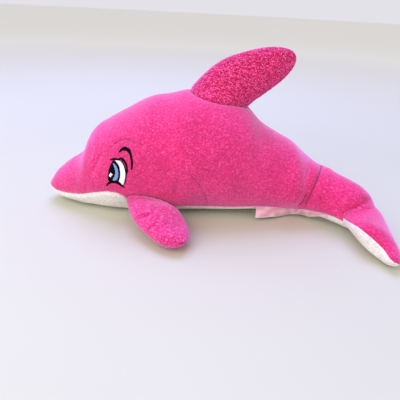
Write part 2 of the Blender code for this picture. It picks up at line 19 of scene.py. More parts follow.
import bpy
import numpy as np
from mathutils import Matrix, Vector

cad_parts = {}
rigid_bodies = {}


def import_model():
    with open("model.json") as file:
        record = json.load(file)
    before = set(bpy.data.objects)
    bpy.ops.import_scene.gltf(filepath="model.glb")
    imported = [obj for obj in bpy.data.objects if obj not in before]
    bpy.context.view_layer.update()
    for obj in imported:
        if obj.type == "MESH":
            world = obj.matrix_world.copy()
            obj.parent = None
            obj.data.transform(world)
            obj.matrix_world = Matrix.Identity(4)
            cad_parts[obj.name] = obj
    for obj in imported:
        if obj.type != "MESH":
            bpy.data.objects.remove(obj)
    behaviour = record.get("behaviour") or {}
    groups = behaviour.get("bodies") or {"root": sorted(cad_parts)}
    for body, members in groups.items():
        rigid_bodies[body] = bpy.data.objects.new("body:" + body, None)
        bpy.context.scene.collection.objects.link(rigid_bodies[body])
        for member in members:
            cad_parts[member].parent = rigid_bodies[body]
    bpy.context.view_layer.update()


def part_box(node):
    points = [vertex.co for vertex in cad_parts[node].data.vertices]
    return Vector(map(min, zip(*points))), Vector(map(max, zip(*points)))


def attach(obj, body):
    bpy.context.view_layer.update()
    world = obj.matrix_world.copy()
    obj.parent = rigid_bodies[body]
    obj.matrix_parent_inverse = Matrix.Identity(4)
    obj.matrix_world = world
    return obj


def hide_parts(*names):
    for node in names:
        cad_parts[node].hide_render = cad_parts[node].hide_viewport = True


LOG = logging.getLogger("plush_dolphin")
MM = 0.001
# Angle of the crest round the body.
CREST = math.pi / 2.0
# Swelling, in millimetres, where the tail meets the fluke.
JOIN_SWELL = 2.4
# Cells of a panel's outer side to one of its lining.
LINING_STEP = 8
# Thickness of the pile cloth, and how tightly it is stuffed.
CLOTH_WALL = 1.2 * MM
CLOTH_FILL = 0.7
# Least height of the cloth above the floor.
FLOOR_GAP = 0.05 * MM
# Distance from a seam within which the pile stays short.
BARE_BESIDE_SEAM = 1.6 * MM
# Small turn round a surface over which its normal is measured.
ANGLE_STEP = 0.01
# Places at which a curve along the whole body is read.
FINE_COUNT = 6000

Array = np.ndarray
Table = Sequence[Sequence[float]]
Socket = bpy.types.NodeSocket


class Side(Enum):
    """The dolphin's left side faces -y, and its right side +y."""

    LEFT = 1.0
    RIGHT = -1.0

    @property
    def title(self) -> str:
        """Word that the names of this side's pieces start with."""
        return self.name.lower()


# ---- Numbers and curves


def smooth(at: Array, places: Array, values: Array) -> Array:
    """Read a smooth curve that passes through given values.

    Between two places the curve is the cubic that has the values and the mean
    slopes of its neighbours at both ends.

    Args:
        at: where to read it.
        places: increasing places of the given values.
        values: the values there.

    Returns:
        The curve at each place asked for.
    """
    places = np.asarray(places, float)
    values = np.asarray(values, float)
    at = np.clip(np.asarray(at, float), places[0], places[-1])
    slopes = np.gradient(values, places)
    low = np.clip(np.searchsorted(places, at) - 1, 0, len(places) - 2)
    span = places[low + 1] - places[low]
    u = (at - places[low]) / span
    return (
        (2 * u**3 - 3 * u**2 + 1) * values[low]
        + (u**3 - 2 * u**2 + u) * span * slopes[low]
        + (3 * u**2 - 2 * u**3) * values[low + 1]
        + (u**3 - u**2) * span * slopes[low + 1]
    )


def smooth_points(share: Array, points: Table, unit: float = MM) -> Array:
    """Read a smooth line through points at shares from 0 to 1 of their count."""
    table = np.asarray(points, float) * unit
    knots = np.linspace(0.0, 1.0, len(table))
    return np.stack([smooth(share, knots, table[:, k]) for k in range(table.shape[1])], -1)


def even_line(points: Table, count: int, unit: float = MM) -> Array:
    """Smooth line through points, read at evenly spaced distances along it."""
    dense = smooth_points(np.linspace(0.0, 1.0, 400), points, unit)
    steps = np.linalg.norm(np.diff(dense, axis=0), axis=1)
    length = np.concatenate([[0.0], np.cumsum(steps)])
    at = np.linspace(0.0, length[-1], count)
    return np.stack([np.interp(at, length, dense[:, k]) for k in range(dense.shape[1])], -1)


def unit_vectors(vectors: Array) -> Array:
    """Vectors scaled to length one."""
    return vectors / np.maximum(np.linalg.norm(vectors, axis=-1, keepdims=True), 1e-12)


def in_mm(*values: float) -> Array:
    """Lengths in metres of values in millimetres."""
    return np.asarray(values) * MM


def eased(share: Array) -> Array:
    """Smooth step, 3u² - 2u³, of a share that is cut off at 0 and 1."""
    u = np.clip(share, 0.0, 1.0)
    return u * u * (3.0 - 2.0 * u)


def bell(distance: Array, width: float) -> Array:
    """Bell of height one: e to the minus square of distance over width."""
    return np.exp(-((distance / width) ** 2))


def surface_normal(
    point: Callable[[Array, Array], Array], along: Array, angle: Array, step: float, end: float
) -> Array:
    """Unit normal: the cross product of small steps along and around a surface.

    Args:
        point: the surface, from places along and angles around it.
        along: places from 0 to the end.
        angle: angles around.
        step: length of the small step along.
        end: last place of the surface.

    Returns:
        The unit vectors.
    """
    along, angle = np.broadcast_arrays(along, angle)
    after, before = np.clip(along + step, 0.0, end), np.clip(along - step, 0.0, end)
    run = point(after, angle) - point(before, angle)
    turn = point(along, angle + ANGLE_STEP) - point(along, angle - ANGLE_STEP)
    return unit_vectors(np.cross(run, turn))


def lattice_slope(cells: Array, seed: int) -> Array:
    """Pseudo-random slope for each cell of a cubic lattice, from a hash of its indices."""
    key = cells[..., 0] * 374761393 + cells[..., 1] * 668265263 + cells[..., 2] * 974634777
    parts = []
    for axis in range(3):
        mixed = (key + (seed * 3 + axis + 1) * 1274126177) & 0xFFFFFFFF
        mixed = ((mixed ^ (mixed >> 13)) * 1597334677) & 0xFFFFFFFF
        mixed = ((mixed ^ (mixed >> 15)) * 668265263) & 0xFFFFFFFF
        parts.append(((mixed ^ (mixed >> 16)) & 0xFFFF) / 32767.5 - 1.0)
    return np.stack(parts, -1)


def ripple(points: Array, size: float, seed: int) -> Array:
    """Smooth random field of about -1 to 1 over space.

    Each corner of a lattice has a random slope. The field is the sum over the
    eight corners around a point of slope times offset, weighted by
    6t^5 - 15t^4 + 10t^3 along each axis.

    Args:
        points: points of any shape, with x, y and z last.
        size: lattice spacing in metres.
        seed: number of the random pattern.

    Returns:
        The field at each point.
    """
    flat = points.reshape(-1, 3) / size + 1000.0
    cell = np.floor(flat).astype(np.int64)
    inside = flat - cell
    weight = inside**3 * (inside * (inside * 6.0 - 15.0) + 10.0)
    total = np.zeros(len(flat))
    for corner in np.ndindex(2, 2, 2):
        shift = np.array(corner)
        share = np.prod(np.where(shift == 1, weight, 1.0 - weight), axis=1)
        total += share * np.sum(lattice_slope(cell + shift, seed) * (inside - shift), axis=1)
    return np.clip(total * 1.15, -1.0, 1.0).reshape(points.shape[:-1])


def path_distance(points: Array, path: Array, reach: float) -> tuple[Array, Array]:
    """Distance from points to a path, and where along the path each is nearest.

    On each straight run from a to b the nearest point is a + t(b - a), with t the
    clamped share (p - a)·(b - a) / |b - a|². The smallest distance is kept.

    Args:
        points: N points.
        path: the path's points in order.
        reach: distance beyond which points are left out.

    Returns:
        The N distances, infinite where left out, and the N lengths along the path.
    """
    distance = np.full(len(points), np.inf)
    along = np.zeros(len(points))
    near = np.flatnonzero(
        np.all((points > path.min(0) - reach) & (points < path.max(0) + reach), axis=1)
    )
    here = points[near]
    best = np.full(len(near), np.inf)
    place = np.zeros(len(near))
    start = 0.0
    for a, b in zip(path[:-1], path[1:]):
        run = b - a
        length = float(np.linalg.norm(run))
        if length < 1e-9:
            continue
        share = np.clip((here - a) @ run / length**2, 0.0, 1.0)
        gap = np.linalg.norm(here - a - share[:, None] * run, axis=1)
        closer = gap < best
        best[closer] = gap[closer]
        place[closer] = start + share[closer] * length
        start += length
    distance[near] = best
    along[near] = place
    return distance, along


# ---- Meshes


def lining_faces(index: Array, step: int) -> list[tuple[int, ...]]:
    """Coarse faces of a panel's inner side.

    One face covers a block of step by step cells. Along the panel's edge a face
    also holds every vertex of the rim, so that the wall is closed.

    Args:
        index: vertex numbers of the inner grid; only the rim and the block
            corners are in use.
        step: cells along a block.

    Returns:
        The faces as vertex numbers, in the outer side's turning sense.
    """
    rows, columns = index.shape
    faces = []
    for top in range(0, rows - 1, step):
        low = top + step
        for left in range(0, columns - 1, step):
            right = left + step
            first = index[top, left:right] if top == 0 else index[top, left:left + 1]
            second = (
                index[top:low, right] if right == columns - 1 else index[top:top + 1, right]
            )
            third = (
                index[low, right:left:-1] if low == rows - 1 else index[low, right:right + 1]
            )
            fourth = index[low:top:-1, left] if left == 0 else index[low:low + 1, left]
            faces.append(tuple(np.concatenate([first, second, third, fourth]).tolist()))
    return faces


def grid_faces(index: Array) -> Array:
    """Four-sided faces between the neighbouring vertices of a grid."""
    return np.stack(
        [index[:-1, :-1], index[1:, :-1], index[1:, 1:], index[:-1, 1:]], axis=-1
    ).reshape(-1, 4)


@dataclass(frozen=True)
class Tag:
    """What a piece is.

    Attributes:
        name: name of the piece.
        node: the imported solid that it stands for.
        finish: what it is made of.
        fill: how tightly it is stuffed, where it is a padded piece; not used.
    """

    name: str
    node: str
    finish: Finish
    fill: float | None = None


class Workshop:
    """Makes finished pieces from arrays and hands them to the frame."""

    def __init__(self, shift: Array) -> None:
        """Remember how far the maker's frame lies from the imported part's."""
        self.shift = shift
        self.materials: dict[Finish, bpy.types.Material] = {}

    def piece(
        self, tag: Tag, points: Array, faces: list[tuple[int, ...]],
        marks: dict[str, Array] | None = None,
    ) -> bpy.types.Object:
        """Make one piece, tie it to the frame and report it.

        Args:
            tag: what the piece is.
            points: its vertices in the maker's frame.
            faces: its faces as vertex numbers, turning outwards.
            marks: values on its vertices that the finish reads, by name.

        Returns:
            The new object.
        """
        mesh = bpy.data.meshes.new(tag.name)
        mesh.from_pydata((points + self.shift).tolist(), [], faces)
        mesh.shade_smooth()
        for title, values in (marks or {}).items():
            mark = mesh.attributes.new(title, "FLOAT", "POINT")
            mark.data.foreach_set("value", np.asarray(values, np.float32))
        if tag.finish not in self.materials:
            self.materials[tag.finish] = tag.finish.material()
        mesh.materials.append(self.materials[tag.finish])
        made = bpy.data.objects.new(tag.name, mesh)
        bpy.context.scene.collection.objects.link(made)
        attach(made, "root")
        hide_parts(tag.node)
        LOG.info("%s: %d vertices, %d faces", tag.name, len(mesh.vertices), len(mesh.polygons))
        return made

    def panel(
        self, tag: Tag, outer: Array, smooth_side: Array, inwards: Array,
        marks: dict[str, Array] | None = None, wall: float = CLOTH_WALL,
        step: int = LINING_STEP,
    ) -> bpy.types.Object:
        """Make a panel with a wall, closed all round its edge.

        Inner side: each point lies a wall's thickness inwards of the smooth
        surface, and further by the depth of the deepest fold within a block of
        it, so that no fold breaks through. Along the rim the wall is plain.

        Args:
            tag: what the piece is.
            outer: grid of points of its outer side, a multiple of step cells each way.
            smooth_side: the same grid before its folds and pile.
            inwards: unit vectors into the filling on that grid.
            marks: values on the outer grid that the finish reads.
            wall: thickness of the panel.
            step: cells of the outer grid to one of the inner grid.

        Returns:
            The new object.
        """
        rows, columns = outer.shape[:2]
        depth = np.maximum(np.sum((outer - smooth_side) * inwards, axis=-1), 0.0)
        for axis in (0, 1):
            wide = np.pad(depth, [(step, step) if k == axis else (0, 0) for k in (0, 1)])
            depth = np.max(
                np.lib.stride_tricks.sliding_window_view(wide, 2 * step + 1, axis), axis=-1
            )
        inner = smooth_side + inwards * (wall + depth)[..., None]
        for rim_part in (np.s_[[0, -1], :], np.s_[:, [0, -1]]):
            inner[rim_part] = outer[rim_part] + inwards[rim_part] * wall
        used = np.zeros((rows, columns), bool)
        used[::step, ::step] = True
        used[[0, -1], :] = True
        used[:, [0, -1]] = True
        outer_index = np.arange(rows * columns).reshape(rows, columns)
        inner_index = np.full((rows, columns), -1)
        inner_index[used] = np.arange(used.sum()) + rows * columns
        faces = grid_faces(outer_index)
        lining = lining_faces(inner_index, step)
        way = np.cross(outer[1:, :-1] - outer[:-1, :-1], outer[:-1, 1:] - outer[:-1, :-1])
        outwards = float(np.sum(way * inwards[:-1, :-1])) < 0.0
        around = np.concatenate(
            [outer_index[0, :-1], outer_index[:-1, -1], outer_index[-1, :0:-1],
             outer_index[:0:-1, 0]]
        )
        below = np.concatenate(
            [inner_index[0, :-1], inner_index[:-1, -1], inner_index[-1, :0:-1],
             inner_index[:0:-1, 0]]
        )
        rim = np.stack([around, np.roll(around, -1), np.roll(below, -1), below], -1)
        faces = faces.tolist() + rim.tolist() + lining
        if not outwards:
            faces = [face[::-1] for face in faces]
        points = np.concatenate([outer.reshape(-1, 3), inner[used]])
        values = {
            title: np.concatenate([mark.reshape(-1), np.zeros(int(used.sum()))])
            for title, mark in (marks or {}).items()
        }
        return self.piece(tag, points, faces, values)

    def cloth(
        self, stem: str, grid: tuple[Array, Array], relief: Relief, pile: Pile,
        pressed: Array | float = 0.0,
    ) -> None:
        """Make a panel of pile cloth from the smooth grid and its outward vectors."""
        points, outwards = grid
        moved, marks = dress(points, outwards, relief, pile, pressed)
        tag = Tag(f"{stem}_cloth", f"{stem}_panel", pile, CLOTH_FILL)
        self.panel(tag, moved, points, -outwards, marks)

    def filling(
        self, stem: str, grid: tuple[Array, Array], relief: Relief, gap: float, fill: float
    ) -> None:
        """Make a filling: a solid through closed rings, with a pole at each end.

        Args:
            stem: what it fills.
            grid: rings of points on the smooth surface, and their outward vectors.
            relief: the folds of the cover, which press it in.
            gap: how far it lies below the smooth surface and the folds.
            fill: how tightly it is stuffed.
        """
        points, outwards = grid
        height, _, _ = relief.apply(points)
        rings = points + outwards * (np.minimum(height, 0.0) - gap)[..., None]
        rows, columns = rings.shape[:2]
        index = np.arange(rows * columns).reshape(rows, columns)
        faces = grid_faces(np.concatenate([index, index[:, :1]], axis=1)).tolist()
        first, last = rows * columns, rows * columns + 1
        ends = rings[[0, -1]].mean(axis=1)
        near = np.stack([index[0], np.roll(index[0], -1), np.full(columns, first)], -1)
        far = np.stack([np.roll(index[-1], -1), index[-1], np.full(columns, last)], -1)
        faces += near.tolist() + far.tolist()
        way = np.cross(rings[1:, :] - rings[:-1, :], np.roll(rings, -1, 1)[:-1] - rings[:-1, :])
        middle = rings.mean(axis=1, keepdims=True)[:-1]
        if float(np.sum(way * (rings[:-1] - middle))) < 0.0:
            faces = [face[::-1] for face in faces]
        points = np.concatenate([rings.reshape(-1, 3), ends])
        self.piece(Tag(f"{stem}_filling", f"{stem}_stuffing", FIBREFILL, fill), points, faces)


# ---- Finishes


def linear(colour: str) -> tuple[float, float, float, float]:
    """Linear colour of an sRGB hex value, by the sRGB curve."""
    parts = [int(colour[i:i + 2], 16) / 255.0 for i in (1, 3, 5)]
    bent = [c / 12.92 if c <= 0.04045 else ((c + 0.055) / 1.055) ** 2.4 for c in parts]
    return (bent[0], bent[1], bent[2], 1.0)


def add_node(
    tree: bpy.types.NodeTree,
    kind: str,
    settings: dict[str | int, object] | None = None,
    links: dict[str | int, bpy.types.NodeSocket] | None = None,
) -> bpy.types.Node:
    """Add a shader node.

    Args:
        tree: node tree of the material.
        kind: Blender's name of the node.
        settings: values by property name, or by the name or number of a socket.
        links: sockets to join to, by the name or number of the node's own socket.

    Returns:
        The new node.
    """
    node = tree.nodes.new(kind)
    for key, value in (settings or {}).items():
        if isinstance(key, str) and hasattr(node, key):
            setattr(node, key, value)
        else:
            node.inputs[key].default_value = value
    for key, socket in (links or {}).items():
        tree.links.new(socket, node.inputs[key])
    return node


class Shading:
    """A node material in the making."""

    def __init__(self, title: str) -> None:
        """Start the material with its Principled shader."""
        self.material = bpy.data.materials.new(title)
        self.material.use_nodes = True
        self.tree = self.material.node_tree

    def add(
        self, kind: str, settings: dict[str | int, object] | None = None,
        links: dict[str | int, Socket] | None = None, output: str | int = 0,
    ) -> Socket:
        """Add a shader node as add_node does, and return one of its outputs."""
        return add_node(self.tree, f"ShaderNode{kind}", settings, links).outputs[output]

    def noise(self, place: Socket, scale: float, detail: float, roughness: float = 0.6) -> Socket:
        """Fractal noise over a place."""
        return self.add("TexNoise", {"Scale": scale, "Detail": detail, "Roughness": roughness},
                        {"Vector": place}, "Fac")

    def span(self, value: Socket, *limits: float) -> Socket:
        """Value moved from the first two limits to the last two, and cut off there."""
        names = ("From Min", "From Max", "To Min", "To Max")
        return self.add("MapRange", dict(zip(names, limits)), {"Value": value})

    def mix(self, share: Socket, low: str, high: str) -> Socket:
        """Colour between two by a share."""
        return self.add(
            "Mix", {"data_type": "RGBA", 6: linear(low), 7: linear(high)}, {0: share}, 2
        )

    def finish(
        self, colour: Socket, height: Socket, strength: float, distance: float,
        **values: object,
    ) -> bpy.types.Material:
        """Join colour and bump to the shader, and set its other inputs.

        Args:
            colour: the base colour.
            height: what the bump follows.
            strength: strength of the bump.
            distance: its depth in metres.
            values: other inputs by name, with an underscore for a space.

        Returns:
            The finished material.
        """
        shader = self.tree.nodes["Principled BSDF"]
        bump = self.add("Bump", {"Strength": strength, "Distance": distance}, {"Height": height})
        self.tree.links.new(colour, shader.inputs["Base Color"])
        self.tree.links.new(bump, shader.inputs["Normal"])
        for name, value in values.items():
            shader.inputs[name.replace("_", " ")].default_value = value
        return self.material


@dataclass(frozen=True)
class Finish:
    """What a piece is made of."""

    title: str
    slot: str

    def material(self) -> bpy.types.Material:
        """Make the node material."""
        raise NotImplementedError


@dataclass(frozen=True)
class Pile(Finish):
    """Warp-knit polyester pile cloth, sheared and washed so that its fibres tuft.

    Light sinks between the tufts, so their feet look deep and their tips pale;
    the material paints this shade and light into the colour by the pile's height.
    The fibre ends glow where the cloth is seen edge on.
    """

    shaded_foot: str
    body: str
    tip: str
    edge_glow: str
    glow: float
    tuft: float
    relief: float
    curl: float
    grain: float
    grain_contrast: float
    brushed: float = 22.0 * MM

    def nap(self, points: Array) -> Array:
        """Height of the pile from 0, between tufts, to 1, on their tips.

        Plain tufts follow a random field at the tuft's size and at half of it.
        Curled ones are round between thin clefts: 2.6 times the 0.9th power of
        the field's magnitude, cut off at one.
        """
        first = ripple(points, self.tuft, 3)
        second = ripple(points, self.tuft * 0.52, 5)
        plain = 0.5 + 0.5 * first + 0.28 * second
        curled = np.minimum(2.6 * np.abs(first + 0.4 * second) ** 0.9, 1.0)
        return np.clip(plain * (1.0 - self.curl) + curled * self.curl, 0.0, 1.0)

    def material(self) -> bpy.types.Material:
        """Node material of this cloth, reading the marks nap and fold; by them it paints shade at
        the tufts' feet and in folds, and light on the tips.
        """
        shading = Shading(self.title)
        add = shading.add
        place = add("TexCoord", output="Object")
        nap, fold = (
            add("Attribute", {"attribute_name": mark}, output="Fac") for mark in ("nap", "fold")
        )
        fibres = shading.noise(place, 1.0 / self.grain, 2.0)
        sweep = shading.noise(place, 1.0 / self.brushed, 4.0)
        height = add("Math", {"operation": "MULTIPLY_ADD", 1: self.grain_contrast},
                     {0: fibres, 2: nap})
        level = add("Math", {"operation": "SUBTRACT", 1: self.grain_contrast * 0.5},
                    {0: height})
        # Painted shade and light: the ramp runs from the shaded foot colour between the tufts to
        # the pale tip colour on them; the fine fibres add random tone.
        ramp = add("ValToRGB", None, {"Fac": level}, "Color")
        stops = ramp.node.color_ramp.elements
        stops[0].color, stops[1].color = linear(self.shaded_foot), linear(self.tip)
        stops.new(0.5).color = linear(self.body)
        lay = shading.span(sweep, 0.3, 0.7, 0.88, 1.12)
        brushed = add("Mix", {"data_type": "RGBA", "blend_type": "MULTIPLY", 0: 1.0},
                      {6: ramp, 7: lay}, 2)
        # Painted shade: seams, roots and folds are darkened towards the foot colour by the fold
        # mark.
        shaded = add("Mix", {"data_type": "RGBA", 7: linear(self.shaded_foot)},
                     {0: fold, 6: brushed}, 2)
        return shading.finish(
            shaded, fibres, 0.55, self.grain * 0.35, Roughness=0.95, Specular_IOR_Level=0.15,
            Sheen_Weight=self.glow, Sheen_Roughness=0.5, Sheen_Tint=linear(self.edge_glow),
        )


@dataclass(frozen=True)
class Floss(Finish):
    """Rayon embroidery floss, laid in satin stitch: smooth strands with a silky gloss."""

    colour: str
    shadow: str
    roughness: float
    gloss: float = 0.3

    def material(self) -> bpy.types.Material:
        """Node material of this floss, with its twist as fine light and dark."""
        shading = Shading(self.title)
        place = shading.add("TexCoord", output="Object")
        twist = shading.noise(place, 1.0 / (0.5 * MM), 2.0)
        return shading.finish(
            shading.mix(twist, self.shadow, self.colour), twist, 0.3, 0.05 * MM,
            Roughness=self.roughness, Specular_IOR_Level=self.gloss,
        )


@dataclass(frozen=True)
class Ribbon(Finish):
    """Thin woven polyester satin ribbon: a soft gloss, and a pale selvedge at its edges."""

    colour: str
    # Pale colour: the selvedge's own, and also the painted highlight of the satin.
    pale: str

    def material(self) -> bpy.types.Material:
        """Node material of the ribbon, reading its own UV map: u along it, v across."""
        shading = Shading(self.title)
        add = shading.add
        uv = add("UVMap", {"uv_map": "ribbon"}, output="UV")
        across = add("SeparateXYZ", None, {"Vector": uv}, "Y")
        middle = add("Math", {"operation": "SUBTRACT", 1: 0.5}, {0: across})
        selvedge = shading.span(add("Math", {"operation": "ABSOLUTE"}, {0: middle}),
                                0.4, 0.44, 0.0, 1.0)
        weave = add(
            "TexWave",
            {"wave_type": "BANDS", "bands_direction": "X", "Scale": 38.0, "Distortion": 0.4},
            {"Vector": uv}, "Fac",
        )
        # Painted highlight: cloudy pale patches over the satin; the pale selvedge at the edges is
        # its own colour.
        painted_gleam = shading.span(shading.noise(uv, 1.6, 0.0), 0.36, 0.72, 0.0, 0.75)
        share = add("Math", {"operation": "MAXIMUM"}, {0: selvedge, 1: painted_gleam})
        return shading.finish(shading.mix(share, self.colour, self.pale), weave, 0.25, 0.05 * MM,
                              Roughness=0.38, Sheen_Weight=0.2)


@dataclass(frozen=True)
class Fibrefill(Finish):
    """Crimped hollow polyester staple, blown loose into the cover: matt and cloudy white."""

    colour: str
    shadow: str
    clump: float

    def material(self) -> bpy.types.Material:
        """Node material of the filling: painted shade between its clumps, and the clumps in
        relief.
        """
        shading = Shading(self.title)
        place = shading.add("TexCoord", output="Object")
        clumps = shading.noise(place, 1.0 / self.clump, 6.0, 0.7)
        return shading.finish(shading.mix(clumps, self.shadow, self.colour), clumps, 0.8,
                              1.0 * MM, Roughness=1.0)


BODY_PILE = Pile(
    "hot_pink_velboa", "pink_plush", shaded_foot="#A60C4A", body="#DA2A72", tip="#EE60A4",
    edge_glow="#F0B6F0", glow=1.0, tuft=1.25 * MM, relief=0.28 * MM, curl=0.1,
    grain=1.15 * MM, grain_contrast=0.95,
)
FIN_PILE = Pile(
    "curled_pink_fleece", "fin_plush", shaded_foot="#7A0228", body="#D01C5E", tip="#F45E9C",
    edge_glow="#ECB0FF", glow=1.0, tuft=1.2 * MM, relief=0.7 * MM, curl=1.0,
    grain=0.7 * MM, grain_contrast=0.25,
)
FLIPPER_PILE = Pile(
    "tufted_pink_velboa", "fin_plush", shaded_foot="#9C0A44", body="#DC2C78", tip="#F26CB4",
    edge_glow="#F0B6F4", glow=1.0, tuft=1.5 * MM, relief=0.5 * MM, curl=0.6,
    grain=0.9 * MM, grain_contrast=0.6,
)
# Painted shade: the foot colour darkens the white between tufts and in seams, and is pinkish to
# paint the pink light bounced there from the pink cloth.
WHITE_PILE = Pile(
    "off_white_velboa", "white_plush", shaded_foot="#CFC0BC", body="#EAE5DF", tip="#F8F5F1",
    edge_glow="#FFFFFF", glow=0.3, tuft=1.7 * MM, relief=0.25 * MM, curl=0.0,
    grain=1.1 * MM, grain_contrast=0.5,
)
BLACK_FLOSS = Floss("black_rayon_floss", "black_thread", "#070509", "#020102", 0.7, 0.08)
BLUE_FLOSS = Floss("blue_rayon_floss", "blue_thread", "#90AEDF", "#6587C4", 0.5)
WHITE_FLOSS = Floss("white_rayon_floss", "white_thread", "#FDFDFD", "#ECEEF2", 0.5)
RIBBON = Ribbon("label_satin_ribbon", "label_satin", "#EDA3B9", "#FCEAF0")
FIBREFILL = Fibrefill("polyester_fibrefill", "fibre", "#F1EFEA", "#CFCBC3", 6.0 * MM)


# ---- Seams and folds


@dataclass(frozen=True)
class Groove:
    """A sewn seam, a root or a fold: cloth drawn in along a path, swelling beside it.

    Its lengths are in millimetres.
    """

    depth: float
    width: float
    swell: float = 0.0
    reach: float = 5.0
    pucker: float = 0.0
    pitch: float = 6.0
    fade: float = 0.0
    # Strength of the shade painted into the cloth's colour along the path.
    shade: float = 0.6

    def press(self, points: Array, path: Array) -> tuple[Array, Array, Array]:
        """Shape the cloth beside a path.

        Height: minus depth times 1 + pucker·sin(2π·length/pitch) times
        e to the minus distance over width, plus swell times a bell round reach.
        Both fade to nothing over a share of the path at its ends.

        Args:
            points: N points on the smooth surface.
            path: the path's points.

        Returns:
            The change in height, the painted shade and how near the path is, from 0 to 1.
        """
        width, reach = self.width * MM, self.reach * MM
        distance, along = path_distance(points, path, 6.0 * max(width, reach))
        total = float(np.sum(np.linalg.norm(np.diff(path, axis=0), axis=1)))
        ends = np.minimum(along, total - along) / max(self.fade * total, 1e-9)
        strength = eased(ends) if self.fade else np.ones(len(points))
        wave = 1.0 + self.pucker * np.sin(2.0 * math.pi * along / (self.pitch * MM))
        swell = self.swell * MM * bell(distance - reach, 0.6 * reach)
        height = strength * (swell - self.depth * MM * wave * np.exp(-distance / width))
        shade = strength * self.shade * np.exp(-distance / (0.8 * width)) * wave
        return height, shade, strength * bell(distance, BARE_BESIDE_SEAM)


@dataclass
class Relief:
    """All that bends a smooth surface: seams and folds, soft dents and uneven filling."""

    grooves: list[tuple[Groove, Array]] = field(default_factory=list)
    dents: list[tuple[Array, float, float]] = field(default_factory=list)
    lump: float = 0.5 * MM
    lump_size: float = 26.0 * MM
    seed: int = 11

    def apply(self, points: Array) -> tuple[Array, Array, Array]:
        """Sum every groove, dent and lump at each point.

        Args:
            points: points of any shape, with x, y and z last.

        Returns:
            The height, the shade and the nearness to a seam, each shaped as the points.
        """
        flat = points.reshape(-1, 3)
        height = self.lump * ripple(flat, self.lump_size, self.seed)
        shade = np.zeros(len(flat))
        seam = np.zeros(len(flat))
        for groove, path in self.grooves:
            change, dark, near = groove.press(flat, path)
            height += change
            shade = np.maximum(shade, dark)
            seam = np.maximum(seam, near)
        for centre, radius, depth in self.dents:
            height -= depth * bell(np.linalg.norm(flat - centre, axis=1), radius)
        shape = points.shape[:-1]
        return height.reshape(shape), shade.reshape(shape), seam.reshape(shape)


def dress(
    points: Array, outwards: Array, relief: Relief, pile: Pile, pressed: Array | float
) -> tuple[Array, dict[str, Array]]:
    """Turn a smooth surface into pile cloth.

    Each point moves outwards by the relief plus the pile's height, which fades
    out towards the seams, and never below the floor.

    Args:
        points: grid of the smooth surface.
        outwards: unit vectors out of it.
        relief: its seams and folds.
        pile: its cloth.
        pressed: share of the pile that is pressed flat.

    Returns:
        The moved grid, and the marks nap and fold; fold holds the grooves' painted shade.
    """
    height, shade, seam = relief.apply(points)
    nap = pile.nap(points)
    standing = (1.0 - seam) * (1.0 - pressed)
    lift = height + pile.relief * (nap - 0.5) * standing
    moved = points + outwards * lift[..., None]
    moved[..., 2] = np.maximum(moved[..., 2], FLOOR_GAP)
    return moved, {"nap": nap, "fold": np.clip(shade, 0.0, 1.0)}


# ---- Body


